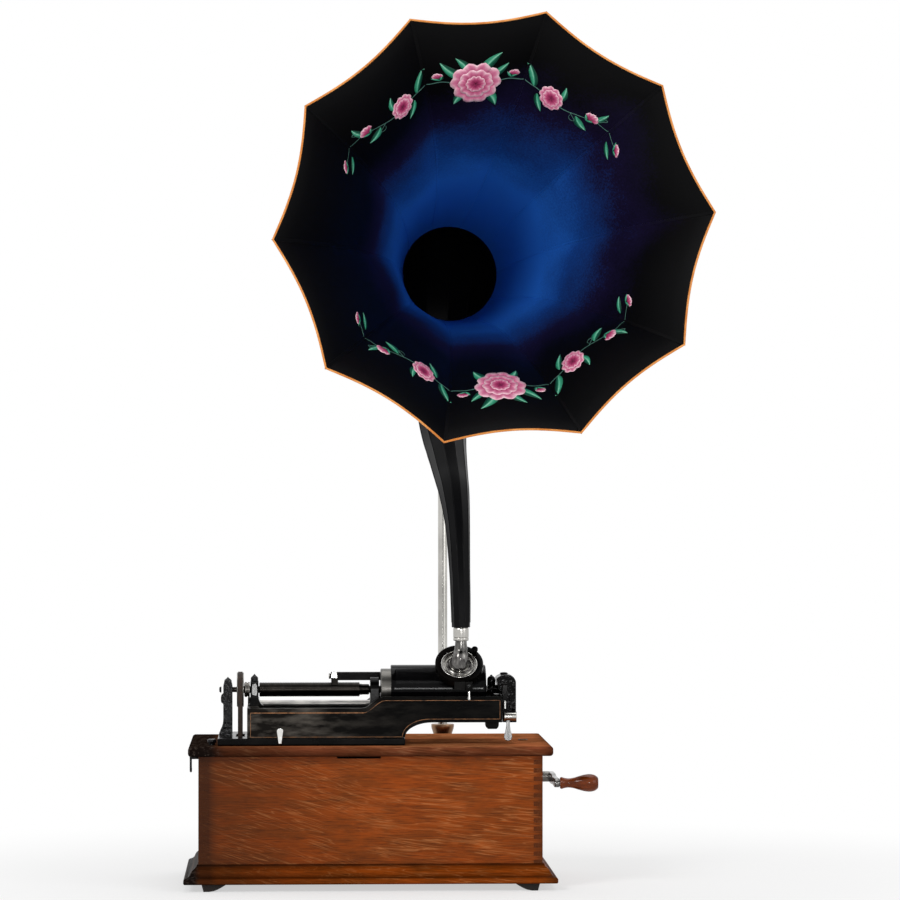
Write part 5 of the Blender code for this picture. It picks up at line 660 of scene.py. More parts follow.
# a sixty-degree thread of fifty turns an inch, drawn at the coarser pitch that a render can show
high, low, pitch = thread["radius"], thread["radius"] - thread["depth"], thread["pitch"]
start, flank = thread["left"] - arbor["left"], pitch * (1 - thread["crest"]) / 2
turns = int((thread["right"] - thread["left"]) / pitch)
profile = [(0, 0), (0, 3.4), (0.6, 4), (26, 4), (start, low)]
for here in (start + k * pitch for k in range(turns)):
    profile += [(here + flank, high), (here + pitch - flank, high), (here + pitch, low)]
collar = start + turns * pitch
profile += [(collar, 6.3), (collar + 2.6, 6.3), (collar + 3, 6), (150.2, 6), (151, 5.2), (151.2, 4), (285.5, 4),
            (285.5, 0)]
newPiece("feedScrew", alongShaft(profile, arbor["left"], corner=0.12), bluedSteel, "arbor", ["feed_screw"],
         sharp=25)
pulley = [(0, 4.5), (0, 19.5), (0.9, 19.5), (0.9, 18.3), (6.7, 18.3), (6.7, 19.5), (7.6, 19.5), (7.6, 14), (6.4, 12.5),
          (6.4, 8), (7.6, 7), (7.6, 4.5)]
newPiece("mandrelPulley", alongShaft(pulley, arbor["pulleyLeft"], corner=0.25), dullNickel, "arbor",
         ["mandrel_pulley"])
mandrel = [(0, 4.5), (0, 22.8), (0.8, 23.6), (119.2, 22.8), (120, 22), (120, 19.5), (118.6, 18), (118.6, 9), (120, 8),
           (120, 4.5)]
newPiece("mandrelDrum", alongShaft(mandrel, arbor["mandrelLeft"], sides=96), drumNickel, "arbor", ["mandrel"])

# real grooves run a hundred to the inch, or 0.25 mm: these are as coarse as it takes to show
record = {"left": 24, "length": 108, "radius": 27.8, "edge": 0.8, "near": 23.8, "far": 23.07, "groove": 1.3,
          "land": 0.9, "grooveDepth": 0.06, "plainLeft": 5, "plainRight": 6}
r, full = record, record["radius"]
first, last = r["plainLeft"], r["length"] - r["plainRight"]
profile = [(0, r["near"]), (0, full - r["edge"]), (r["edge"], full)]
for here in (first + k * r["groove"] for k in range(int((last - first) / r["groove"]))):
    profile += [(here, full), (here + r["land"], full),
                (here + (r["land"] + r["groove"]) / 2, full - r["grooveDepth"])]
profile += [(last, full), (r["length"] - r["edge"], full), (r["length"], full - r["edge"]), (r["length"], r["far"])]
newPiece("waxRecord", alongShaft(profile, r["left"], sides=96, corner=0.05), recordWax, "arbor", ["wax_record"],
         sharp=8)
print("arbor made")

# carriage, reproducer arm, reproducer and half nut

carriage = {"left": 66, "armLeft": 88, "armWidth": 26, "inner": 36.5, "thick": 7.5, "ringX": 101, "ringOut": 40,
            "tilt": 46, "ringRadius": 27.3, "ringThick": 9, "dish": 21.1, "lip": 3.5, "neckX": 103, "neckY": -70,
            "neckTop": 286, "knobOut": 24.2, "knobTurn": 42}
c, rodPlace = carriage, (rodLine["y"], rodLine["z"])
tilt = math.radians(c["tilt"])
ringNormal = Vector((0, -math.sin(tilt), math.cos(tilt)))
ringUp = Vector((0, math.cos(tilt), math.sin(tilt)))
ringMiddle = Vector((c["ringX"], shaft["y"], shaft["z"])) + ringNormal * c["ringOut"]
sleeve = [(0, 4.5), (0, 6.8), (2.4, 6.8), (2.9, 6.3), (3.4, 6.8), (46.6, 6.8), (47.1, 6.3), (47.6, 6.8), (50, 6.8),
          (50, 4.5)]
newPiece("carriageSleeve", alongShaft(sleeve, c["left"], *rodPlace, corner=0.2), steel, "carriage",
         ["carriage_sleeve"])
sweep = [math.radians(-24 + 130 * k / 40) for k in range(41)]
curve = [(shaft["y"] + out * math.cos(a), shaft["z"] + out * math.sin(a))
         for out, run in ((c["inner"] + c["thick"], sweep), (c["inner"], sweep[::-1])) for a in run]
mesh = carve(slab(curve, "x", c["armLeft"], c["armLeft"] + c["armWidth"]), "UNION",
             alongShaft(rod(c["armWidth"], 10.2), c["armLeft"], *rodPlace, corner=0.01),
             lathe(rod(c["ringThick"], c["ringRadius"], -c["ringThick"] / 2), ringMiddle, ringNormal, 96, 0.01),
             box((94.5, 106.5), (-92, -83), (224, 233)), box((107, 115), (-92.5, -83), (222.3, 233)))
mesh = carve(mesh, "DIFFERENCE", alongShaft(rod(40, 7.35), c["armLeft"] - 5, *rodPlace, corner=0.01),
             lathe(rod(24, c["dish"] + 0.3, -12), ringMiddle, ringNormal, 96, 0.01))
newPiece("reproducerArm", mesh, japan, "arm", ["reproducer_arm"], bevel=0.7)
# the nickel dish: a turned bowl with a raised lip round it
deep, bottom = c["lip"], record["radius"] + 0.3 - c["ringOut"]
dish = [(bottom, 0), (bottom + 0.4, 1.2), (-deep - 3, 2), (-deep, 3.4), (-deep, 19.6), (-deep * 0.7, c["dish"]),
        (deep * 0.6, c["dish"]), (deep * 1.15, 20.6), (deep * 1.15, 19.2), (deep * 0.62, 18), (deep * 0.3, 16.6),
        (deep * 0.22, 14.5), (deep * 0.22, 0)]
newPiece("reproducerDish", lathe(dish, ringMiddle, ringNormal, 96, 0.6), nickelWithPaintedReflection, "arm", ["reproducer"])
# the neck leaves the dish square to it and bends upright as it narrows
foot = ringMiddle + ringNormal * 0.4
bend = [foot, foot + ringNormal * 1.5, foot + ringNormal * 4.6, (102.2, -71.6, 259.5)]
bend += [(c["neckX"], c["neckY"], z) for z in (266, 274, c["neckTop"])]
run = smoothRun([(*p, r) for p, r in zip(bend, (15.5, 12.6, 10.8, 9.4, 8.2, 6.9, 6.2))], 6)
newPiece("reproducerNeck", tube([at(*p[:3]) for p in run], [p[3] / 1000 for p in run], 64, across=(1, 0, 0)),
         darkNickel, "arm", sharp=50)
turn = math.radians(c["knobTurn"])
foot = ringMiddle + c["knobOut"] * (math.cos(turn) * Vector((1, 0, 0)) + math.sin(turn) * ringUp) + ringNormal * 4.8
knob = [(0, 0), (0, 2.16), (3, 2.16), (3.4, 3.2), (3.9, 3.6), (6.4, 3.6), (7.1, 3.1), (7.5, 2.2), (7.5, 0)]
newPiece("clampKnob", lathe(knob, foot, ringNormal, 40, 0.3), japan, "clamp_knob", ["clamp_knob"])
newPiece("halfNutArm", box((-43.8, 87.7), (-4, 4), (230.5, 240)), japan, "arm", ["half_nut_arm"], bevel=1.1)
nut = carve(box((-43.8, -36), (-45, -4.3), (226.2, 235.25)), "DIFFERENCE", alongShaft(rod(20, 8.7), -50, corner=0.01),
            box((-50, -30), (-31, 6), (220, 230.5)))
newPiece("halfNut", nut, bluedSteel, "arm", ["half_nut"], bevel=0.5)
cheek = eased([(-43.6, 234.6), (-36.6, 234.6), (-36.6, 240.3), (-42.4, 240.3)], 1.2, 4, True)
newPiece("halfNutCheek", slab(cheek, "y", -4.9, -3.9), brightNickel, "arm", bevel=0.3)
newPiece("halfNutScrew", alongShaft([(0, 0), (0, 2.9), (1.2, 3.3), (2.2, 2.4), (2.2, 0)], -46, 0, 235.2, 32, 0.3),
         dullNickel, "arm")
newPiece("liftLever", lathe(rod(4.4, 4.2, -2.2), (111, -95, 226.5), (0, 1, 0), 40, 0.5), japan, "lift_lever",
         ["lift_lever"])
newPiece("liftLeverPin", lathe([(0, 0), (0.3, 1.2), (1.6, 1.9), (4.6, 1.3), (11.2, 1.2), (11.2, 0)],
                               (111, -95, 211.8), sides=32, corner=0.4), brightNickel, "lift_lever")
print("carriage made")

# the horn: swan-neck elbow, ten-panel bell, painted garlands

horn = {"start": (103, -70), "turn": 5.1, "throatBack": 98, "throatZ": 700, "length": 381, "yaw": 5, "pitch": 4.7,
        "throat": 55, "mouth": 238, "dip": 8, "wall": 0.7, "panels": 10, "firstSeam": 4, "seamWidth": 1.5,
        "seamHeight": 2.6, "bead": 1.15, "edgeBack": 1.1, "collarLow": 278.5, "collarTop": 293.5, "elbowStart": 10.5,
        "elbowReach": 178}
hornColours = {"black": "#040405", "grey": "#0a0a0c", "blue": "#2467c4", "deep": "#153c80", "violet": "#140f2a"}
turn, yaw, pitch = (math.radians(horn[key]) for key in ("turn", "yaw", "pitch"))
hornBack = Vector((-math.sin(turn), math.cos(turn), 0))
hornAcross = Vector((math.cos(turn), math.sin(turn), 0))
throat = Vector((*horn["start"], 0)) + hornBack * horn["throatBack"]
throat.z = horn["throatZ"]
bellAxis = Vector((math.sin(yaw) * math.cos(pitch), -math.cos(yaw) * math.cos(pitch), math.sin(pitch)))
bellRight = Vector((0, 0, 1)).cross(bellAxis).normalized()
bellUp = bellAxis.cross(bellRight)
panelTurn = math.tau / horn["panels"]


def clamp(value):
    return max(0, min(1, value))


def flare(share):  # radius at a seam, from the throat (0) to the mouth (1)
    return horn["throat"] + (horn["mouth"] - horn["throat"]) * (0.35 * share + 0.65 * share ** 3)


def bellPoint(share, turn, lift=0.0, ahead=0.0):
    # a point on the inside of the bell, round at the throat and dished between the seams at the mouth
    half = panelTurn / 2
    within = (turn - math.radians(horn["firstSeam"])) % panelTurn - half
    seam = flare(share)
    flat = seam * math.cos(half) / math.cos(within)
    dip = horn["dip"] * share ** 2 * (1 - (within / half) ** 2)
    radius = seam + (flat - seam) * min(1, share * 2) - dip + lift
    place = throat + bellAxis * (share * horn["length"] + ahead)
    return at(*(place + radius * (math.cos(turn) * bellRight + math.sin(turn) * bellUp)))


def seamTurn(index):
    return math.radians(horn["firstSeam"]) + index * panelTurn


def lacqueredTin(name, glow):
    # tinplate under sprayed lacquer: satin black, and inside a blue mist that fades out from the throat
    made, tree, shader = startFinish(name, 0.36, specular=0.07)
    add = partial(addNode, tree)
    cloud = add("TexNoise", {"Scale": 1.0, "Detail": 3.0, "Vector": measured(tree, (14, 14, 14))})
    spray = add("TexNoise", {"Scale": 1.0, "Detail": 2.0, "Roughness": 0.7,
                             "Vector": measured(tree, (450, 450, 450))})
    source, stops = cloud, [(0.3, hornColours["black"]), (0.7, hornColours["grey"])]
    if glow:
        # how far along the bell from its throat, in metres, with the mist blown unevenly
        place = measured(tree, centre=tuple(at(*throat)))
        source, leaning = (add("VectorMath", {0: place, 1: tuple(way)}, "Value", operation="DOT_PRODUCT")
                           for way in (bellAxis, bellRight * -0.23 + bellUp * -0.19))
        uneven, grain = (add("MapRange", {"Value": noise, "To Min": -most, "To Max": most})
                         for noise, most in ((cloud, 0.035), (spray, 0.03)))
        for more in (leaning, uneven, grain):
            source = add("Math", {0: source, 1: more}, operation="ADD")
        source = add("MapRange", {"Value": source, "From Min": -0.02, "From Max": 0.338})
        stops = list(zip((0, 0.45, 0.62, 0.76, 0.88),
                         (hornColours[key] for key in ("blue", "blue", "deep", "violet", "black"))))
    paint = add("ValToRGB", {"Fac": source}, stops=stops)
    wire(tree, shader, paint, add("Bump", {"Strength": 0.06, "Distance": 0.0002, "Height": spray}))
    return made


hornInside = lacqueredTin("blueMistLacquerOnTin", True)
hornOutside = lacqueredTin("blackLacquerOnTin", False)

stations, columns = 48, 12
shares = [k / stations for k in range(stations + 1)]
turns = [seamTurn(0) + panelTurn * k / columns for k in range(columns * horn["panels"])]
# the sheet ends inside its rolled rim
inner, outer = ([[bellPoint(s, a, lift, -horn["edgeBack"] if s == 1 else 0) for a in turns] for s in shares]
                for lift in (0, horn["wall"]))
bell = newPiece("bellShell", skin(bmesh.new(), [*inner, *reversed(outer)], closedRun=True), hornInside, "horn",
                [f"bell_panel_{k:02d}" for k in range(1, 11)], sharp=12)
bell.data.materials.append(hornOutside)
for face in bell.data.polygons:
    outward = face.center - at(*(throat + bellAxis * (face.center - at(*throat)).dot(bellAxis) * 1000))
    if face.normal.dot(outward.normalized()) > 0:
        face.material_index = 1
rim = [bellPoint(1, seamTurn(0) + panelTurn * k / 16, 0.35, -horn["bead"]) for k in range(160)]
newPiece("rimBead", tube(rim, horn["bead"] / 1000, 14, closedRun=True), rimGold, "horn")
# the panels' folded seams: a fin outside and a flat lap inside
fins, laps = bmesh.new(), bmesh.new()
for turn in (seamTurn(index) for index in range(horn["panels"])):
    finRings, lapRings = [], []
    for share in (0.995 * k / 32 for k in range(33)):
        wide, lap = horn["seamWidth"] / flare(share), (0.5 + 1.4 * share) / flare(share)
        tall = 0.9 + horn["seamHeight"] * min(1, share * 4)
        for made, spots in ((finRings, ((-wide, 0.6), (-wide * 0.8, tall), (0, tall + 0.4), (wide * 0.8, tall),
                                        (wide, 0.6))),
                            (lapRings, ((-lap, 0.35), (-lap * 0.9, -0.5), (lap * 0.9, -0.5), (lap, 0.35)))):
            made.append([bellPoint(share, turn + off, lift) for off, lift in spots])
    skin(fins, finRings, capped=True)
    skin(laps, lapRings, capped=True)
newPiece("seamFins", fins, hornOutside, "horn")
newPiece("seamLaps", laps, hornInside, "horn", sharp=20)

# painted garlands: a plain floral band above and below, mirrored left and right

garland = {"share": 0.84, "tops": (94, 274), "largeBloom": 31, "smallBloom": 16, "bud": 8, "leaf": 27,
           "vineWidth": 1.1, "vineReach": 61, "wave": 10, "sag": 13, "paint": 0.12}


def paintedFinish(name, stops):
    # artists' oil colour brushed on lacquer: soft tones inside each stroke, carried by the mesh's own shade value
    made, tree, shader = startFinish(name, 0.42, specular=0.2)
    add = partial(addNode, tree)
    brush = add("TexNoise", {"Scale": 1.0, "Detail": 3.0, "Vector": measured(tree, (420, 420, 420))})
    streak = add("MapRange", {"Value": brush, "To Min": -0.09, "To Max": 0.09})
    total = add("Math", {0: add("Attribute", out="Fac", attribute_name="shade"), 1: streak}, operation="ADD",
                use_clamp=True)
    wire(tree, shader, add("ValToRGB", {"Fac": total}, stops=stops),
         add("Bump", {"Strength": 0.2, "Distance": 0.0003, "Height": brush}))
    return made


petalPaint = paintedFinish("rosePinkOilPaint", [(0, "#7d1f47"), (0.35, "#b8406f"), (0.68, "#da7d9f"),
                                                (0.9, "#f0bccb"), (1, "#f8dde4")])
leafPaint = paintedFinish("leafGreenOilPaint", [(0, "#06231c"), (0.35, "#156048"), (0.7, "#3fa580"),
                                                (1, "#a8dcc4")])
vinePaint = paintedFinish("greyGreenOilPaint", [(0, "#1d3a33"), (1, "#5d8f80")])


def onBell(place, u, v, lift):
    # a spot u mm round the bell and v mm towards its rim from a place on it
    turn, share = place
    slope = math.hypot(horn["length"], (horn["mouth"] - horn["throat"]) * (0.35 + 1.95 * share ** 2))
    return bellPoint(share + v / slope, turn - u / flare(share), -lift)


def paintShape(paint, rows):
    # rows of spots on the bell, each with its shade, from 0 for dark to 1 for pale
    mesh, shades = paint
    corners = [[mesh.verts.new(point) for point, value in row] for row in rows]
    for verts, row in zip(corners, rows):
        for vert, (point, value) in zip(verts, row):
            vert[shades] = value
    for first, second in zip(corners, corners[1:]):
        for k in range(len(first) - 1):
            mesh.faces.new((first[k], first[k + 1], second[k + 1], second[k]))


def paintPetal(paint, place, centre, size, angle, lift, tone):
    # one heart-shaped petal, dark at its foot and pale at its frilled edge
    across, steps, rows = 10, 7, []
    for step in range(steps + 1):
        out = 0.04 + 0.96 * step / steps
        rows.append([])
        for side in (2 * k / across - 1 for k in range(across + 1)):
            spread = math.radians(42) * side * (0.55 + 0.45 * out)
            notch = 1 - 0.13 * math.exp(-(side / 0.22) ** 2) - 0.22 * abs(side) ** 3
            notch += 0.02 * math.sin(9 * side + angle * 3)
            far = size * out * (notch if out > 0.5 else 1 - (1 - notch) * out * 2)
            spot = onBell(place, centre[0] + far * math.cos(angle + spread),
                          centre[1] + far * math.sin(angle + spread), lift + 0.02 * step)
            fold = 0.10 * math.cos(side * math.pi * 3) * out
            rows[-1].append((spot, clamp(out ** 1.7 * 0.95 + fold - 0.22 * abs(side) ** 2.5 * (1 - out) + tone)))
    paintShape(paint, rows)


def paintBloom(paint, place, centre, size, whorls, spin):
    # whorls of five petals, each one smaller, turned half a petal and a little nearer the eye
    for whorl in range(whorls):
        for k in range(5):
            angle = spin + math.tau * (k + whorl / 2) / 5
            paintPetal(paint, place, centre, size * (1 - 0.3 * whorl), angle, 0.62 + 0.14 * whorl + 0.022 * k,
                       0.03 * whorl)


def paintLeaf(paint, place, root, angle, size, bow):
    # a pointed leaf, one half in the light, bowed along its rib
    across, steps, rows = 6, 9, []
    for t in (step / steps for step in range(steps + 1)):
        rib = angle + bow * (t - 0.3)
        centre = (root[0] + size * t * math.cos(rib), root[1] + size * t * math.sin(rib))
        half = size * 0.2 * math.sin(math.pi * min(1.0, t * 0.96 + 0.03)) ** 0.8 * (1.25 - 0.5 * t)
        rows.append([])
        for side in (2 * k / across - 1 for k in range(across + 1)):
            spot = onBell(place, centre[0] - half * side * math.sin(rib), centre[1] + half * side * math.cos(rib),
                          0.52)
            light = 0.78 - 0.5 * abs(side - 0.25) if side > -0.05 else 0.42 - 0.36 * abs(side)
            rows[-1].append((spot, clamp(light * (0.75 + 0.4 * t) + (0.25 if side == 0 else 0))))
    paintShape(paint, rows)


def paintVine(paint, place, points, width):
    run, rows = smoothRun(points, 6), []
    for index, point in enumerate(run):
        ahead = run[min(index + 1, len(run) - 1)] - run[max(index - 1, 0)]
        side = Vector((-ahead[1], ahead[0])).normalized() * width / 2
        side *= 0.45 + 0.55 * math.sin(math.pi * min(0.5, (len(run) - index) / len(run) * 0.75))
        rows.append([(onBell(place, point[0] + side.x * s, point[1] + side.y * s, 0.68), value)
                     for s, value in ((-1, 0.25), (1, 0.95))])
    paintShape(paint, rows)


def onBand(hand, degrees, v):  # a place on the band, mirrored for the other hand and drawn in at the seams
    within = (degrees + 18) % 36 - 18
    return hand * math.radians(degrees) * flare(garland["share"]), v - garland["sag"] * (within / 18) ** 2


def onVine(hand, degrees):
    return onBand(hand, degrees, garland["wave"] * math.sin(degrees * 0.17 - 1.1) * 0.7 + 2)


g, layers = garland, []
for mesh in (bmesh.new() for key in range(3)):
    layers.append((mesh, mesh.verts.layers.float.new("shade")))
petals, leaves, vines = layers
for place in ((math.radians(top), g["share"]) for top in g["tops"]):
    for k, angle in enumerate((0.5, 1.15, 2, 2.64, 3.9, 5.5)):  # leaves round the large bloom
        root = [g["largeBloom"] * 0.55 * way(angle) for way in (math.cos, math.sin)]
        paintLeaf(leaves, place, root, angle, g["leaf"] * (1.15 if k % 2 else 0.95), 0.3 - 0.6 * (k % 2))
    paintBloom(petals, place, (0, 0), g["largeBloom"], 3, 0.31)
    for hand in (-1, 1):
        run = [onVine(hand, a) for a in (5, 12, 18, 24, 30, 36, 42, 48, 54, g["vineReach"])]
        paintVine(vines, place, run, g["vineWidth"])
        for base, curl in ((38.5, -1), (48, 1)):  # tendrils
            start = onVine(hand, base)
            curve = [start]
            for k in range(1, 9):
                bend, reach = k * 0.62, 7.5 * (1 - k / 13)
                curve.append((start[0] + hand * (4 + reach * math.sin(bend) * 0.9),
                              start[1] + curl * (5 + reach * (1 - math.cos(bend)) * 0.62 - k * 0.4)))
            paintVine(vines, place, curve, g["vineWidth"] * 0.7)
        for degrees, v, size, lean in ((22, 11, 1, 1.9), (24, -9, 0.85, -1.2), (33, 9, 0.75, 1.4),
                                       (41, -9, 0.9, -0.8), (47, 8, 0.8, 0.9), (56, -6, 0.7, -0.5)):
            paintLeaf(leaves, place, onBand(hand, degrees, v * 0.35), lean if hand > 0 else math.pi - lean,
                      g["leaf"] * size, 0.35 * hand)
        paintBloom(petals, place, onBand(hand, 29.5, 0), g["smallBloom"], 2, hand * 0.5 + 1.2)
        outward = 1.1 if hand > 0 else math.pi - 1.1
        for degrees, v, size in ((13.2, 13, 0.8), (45.5, 3, 1.15), (60.5, 1.5, 0.85)):  # buds
            middle = onBand(hand, degrees, v)
            for k, swing in enumerate((-0.5, 0.5, 0)):
                paintPetal(petals, place, middle, g["bud"] * size * 1.25, outward + swing, 0.62 + 0.05 * k,
                           -0.06 + 0.08 * k)
            root = middle[0] - 2.4 * math.cos(outward), middle[1] - 2.4 * math.sin(outward)
            for swing in (-0.9, 0.9):
                paintLeaf(leaves, place, root, outward + swing, g["leaf"] * 0.36, 0.2)
for paint, surface, name in ((leaves, leafPaint, "paintedLeaves"), (vines, vinePaint, "paintedVines"),
                             (petals, petalPaint, "paintedPetals")):
    coat = newPiece(name, paint[0], surface, "horn", sharp=80).modifiers.new("paint", "SOLIDIFY")
    coat.thickness, coat.offset = g["paint"] / 1000, 0
print("garlands painted")

# the elbow, whose places are shares of its reach back, its rise and its growth in width
elbowShares = ((0.000, 0.000, 0.000), (0.022, 0.080, 0.014), (0.067, 0.165, 0.028), (0.163, 0.283, 0.077),
               (0.331, 0.372, 0.154), (0.500, 0.424, 0.210), (0.661, 0.475, 0.265), (0.800, 0.520, 0.325),
               (0.910, 0.580, 0.390), (0.975, 0.660, 0.455), (1.000, 0.745, 0.530), (0.997, 0.825, 0.620),
               (0.943, 0.911, 0.745), (0.820, 0.968, 0.860), (0.672, 0.989, 0.950))
last, low, wide = throat - bellAxis * 0.3, horn["collarTop"] + 0.3, horn["throat"] + horn["wall"]
run = []
for reach, rise, growth in elbowShares:
    place = Vector((*horn["start"], 0)) + hornBack * (reach * horn["elbowReach"])
    run.append((place.x, place.y, low + rise * (last.z - low),
                horn["elbowStart"] + (wide - horn["elbowStart"]) * growth))
run = smoothRun([*run, (*last, wide)], 6)
path, corners, count, split = [Vector(p[:3]) for p in run], [], horn["panels"], 4
for index, centre in enumerate(path):
    ahead = path[min(index + 1, len(path) - 1)] - path[max(index - 1, 0)]
    up = ahead.normalized().cross(hornAcross).normalized()
    roundness = clamp((index - len(path) + 15) / 12)
    corners.append([])
    for a in (math.tau * k / (count * split) for k in range(count * split)):
        flat = math.cos(math.pi / count) / math.cos(a % panelTurn - math.pi / count)
        radius = run[index][3] * (flat + (1 - flat) * roundness)
        corners[-1].append(centre + radius * (math.cos(a) * hornAcross + math.sin(a) * up))
for point in corners[0]:
    point.z = low
turns = [math.atan2((p - last).dot(bellUp), (p - last).dot(bellRight)) for p in corners[-1]]
corners[-1] = [last + wide * (math.cos(a) * bellRight + math.sin(a) * bellUp) for a in turns]
outer, inner = ([[at(*(path[k] + (p - path[k]) * ((run[k][3] - inset) / run[k][3]))) for p in ring]
                 for k, ring in enumerate(corners)] for inset in (0, horn["wall"]))
newPiece("swanNeckElbow", skin(bmesh.new(), [*outer, *reversed(inner)], closedRun=True), hornOutside, "horn",
         ["horn_elbow"], sharp=22)
seams = bmesh.new()
for k in range(0, count * split, split):
    line = [at(*(ring[k] - (ring[k] - path[index]).normalized() * 0.5)) for index, ring in enumerate(corners[:-3])]
    tube(line[1:], 0.0009, 6, seams)
newPiece("elbowSeams", seams, hornOutside, "horn", sharp=60)
# the band laps over the joint of elbow and bell, so that no light comes through it
ring = [(0, 55.9), (0, 57.6), (1.4, 58), (4.4, 57.4), (5.6, 57.4), (8.6, 58), (11.6, 57.9), (11.6, 56.5)]
newPiece("throatBand", lathe(ring, last - bellAxis * 10, bellAxis, 96, 0.4), hornOutside, "horn", ["throat_ring"])
collar = [(0, 7.2), (0, 8.4), (0.8, 8.9), (3, 8.9), (3.5, 8.4), (4, 8.9), (13.4, 8.9), (14.2, 8.6), (15, 8.3),
          (25, 8.1), (25, 6.5), (7.8, 6.5), (7.5, 7.2)]
newPiece("hornCollar", lathe(collar, (*horn["start"], horn["collarLow"]), corner=0.3), nickel, "horn",
         ["horn_collar"])
print("bell and elbow made")

# the crane and the loop that hangs the horn from it

crane = {"x": 90.5, "y": 135, "radius": 5.5, "foot": 85.3, "straight": 430, "bow": 51.9, "bowTop": 580,
         "bendStart": 770, "top": 845.5, "overhang": 20.5, "ball": 8.5, "socketLow": 78}
hanger = {"share": 0.5, "turn": 94, "width": 19, "wire": 1.6, "foot": 6, "seat": 0.7, "slack": 0.9}
turn, share, step = math.radians(hanger["turn"]), hanger["share"], 1 / 9
out = math.cos(turn) * bellRight + math.sin(turn) * bellUp
seat = (bellPoint(share, turn, horn["wall"]) - caseCentre) * 1000
lean = math.atan((flare(share + step) - flare(share - step)) / (2 * step * horn["length"]))
outward = (out * math.cos(lean) - bellAxis * math.sin(lean)).normalized()
along = (bellAxis * math.cos(lean) + out * math.sin(lean)).normalized()
side, half, thin = along.cross(outward), hanger["foot"] / 2, hanger["wire"]
rings = [[at(*(seat + along * (sx * half) + side * (sy * half) + outward * lift)) for sx, sy in quadrants]
         for lift in (hanger["seat"], hanger["seat"] + 3.2)]
mesh = skin(bmesh.new(), rings, capped=True)
base, width = seat + outward * (hanger["seat"] + thin), hanger["width"] / 2 + thin
top = crane["top"] + crane["radius"] + hanger["slack"] + thin
run = [at(base.x + width * math.cos(a), base.y, z + width * math.sin(a))
       for start, z in ((0, top - width), (math.pi, base.z + width))
       for a in (start + math.pi * k / 24 for k in range(25))]
tube(run, thin / 1000, mesh=mesh, closedRun=True)
newPiece("hangerLoop", mesh, nickel, "horn", ["hanger_loop"])

c, bends = crane, 28
swing = math.atan2(seat.x - c["x"], c["y"] - seat.y)
back, across = Vector((-math.sin(swing), math.cos(swing), 0)), Vector((math.cos(swing), math.sin(swing), 0))
reach = math.hypot(seat.x - c["x"], c["y"] - seat.y) + c["overhang"]
rise, drop = c["bowTop"] - c["straight"], c["top"] - c["bendStart"]
route = [(0, c["foot"])]
route += [(c["bow"] * (3 - 2 * s) * s ** 2, c["straight"] + rise * s) for s in (k / bends for k in range(bends + 1))]
route += [(c["bow"] - drop * (1 - math.cos(a)), c["bendStart"] + drop * math.sin(a))
          for a in (math.pi / 2 * k / bends for k in range(bends + 1))]
route.append((-reach, c["top"]))
path = [Vector((c["x"], c["y"], 0)) + back * y + Vector((0, 0, z)) for y, z in route]
newPiece("craneRod", tube([at(*p) for p in path], c["radius"] / 1000, 32, across=across), nickel, "crane",
         ["crane_rod"], sharp=50)
ball = [(c["ball"] * (1 - math.cos(a)) + 0.3, c["ball"] * math.sin(a))
        for a in (math.pi * k / 16 for k in range(1, 16))]
newPiece("craneKnob", lathe([(0.3, 0), *ball, (2 * c["ball"] + 0.3, 0)], path[-1], -back, 48, 0.01), nickel, "crane",
         ["crane_knob"])
socket = [(0, 0), (0, 10.5), (10, 10.5), (11, 9.9), (12, 10.5), (79, 10.5), (83, 11.3), (88, 13), (90.5, 13.5),
          (93.5, 13.5), (93.5, 5.95), (7, 5.95), (7, 0)]
newPiece("craneSocket", lathe(socket, (c["x"], c["y"], c["socketLow"]), corner=0.6), socketPaintedOakReflection, "case",
         ["crane_bracket"])
flange = eased([(66, 62), (116, 62), (116, 146), (66, 146)], 7, 8, True)
newPiece("craneBracketPlate", slab(flange, "y", 105.3, 110.3), dullNickel, bevel=0.7)
newPiece("craneBracketWeb", box((85.5, 95.5), (107.8, 128), (78.3, 134)), dullNickel, bevel=1.2)
screws = bmesh.new()
for x, z in ((74, 70), (74, 138), (107, 70), (107, 138)):
    lathe([(0, 0), (0, 4), (0.6, 4), (1.9, 2.6), (2.2, 1), (2.2, 0)], (x, 110.3, z), (0, 1, 0), 24, 0.3, screws)
newPiece("bracketScrews", screws, steel)
print("crane made")

# the end gate that steadies the shaft's right end

gate = {"left": 150, "right": 155.5, "front": -74, "hingeY": 17.5, "hingeX": 154.5, "bottom": 186, "top": 230.5,
        "cupLow": 217.1, "wide": 16, "high": 53.5, "lockY": -78.9, "lockZ": 193}
g, hinge, middle = gate, (gate["hingeX"], gate["hingeY"]), (gate["bottom"] + gate["top"]) / 2
face = eased([(g["front"], g["bottom"]), (g["hingeY"], g["bottom"]), (g["hingeY"], g["top"]), (g["front"], g["top"])],
             3, 5, True)
mesh = carve(slab(face, "x", g["left"], g["right"]), "DIFFERENCE",
             box((145, 160), (-16.5, -0.5), (middle - 10, middle + 10)),
             box((145, 160), (11.2, 30), (middle + 5, 240)), box((145, 160), (11.2, 30), (180, middle - 5)),
             lathe(rod(70, 3.45), (*hinge, 180), corner=0.01))
newPiece("endGate", mesh, japan, "gate", ["end_gate"], bevel=0.8)
newPiece("gateKnuckle", lathe([(-5, 3.45), (-5, 5.5), (5, 5.5), (5, 3.45)], (*hinge, middle), corner=0.4), japan,
         "gate")
newPiece("gateHub", alongShaft([(0, 0), (0, 4.4), (1, 5), (20, 5), (21.2, 0)], 134.3, corner=0.3), lumpyJapan, "gate")
cup = [(0, 0), (0, 4.8), (15.4, 4.8), (17.6, 4.3), (19.3, 2.9), (19.9, 1.4), (21, 1.2), (21.4, 0)]
newPiece("gateOilCup", lathe(cup, (139.1, shaft["y"], g["cupLow"]), sides=48, corner=0.4), lumpyJapan, "gate")
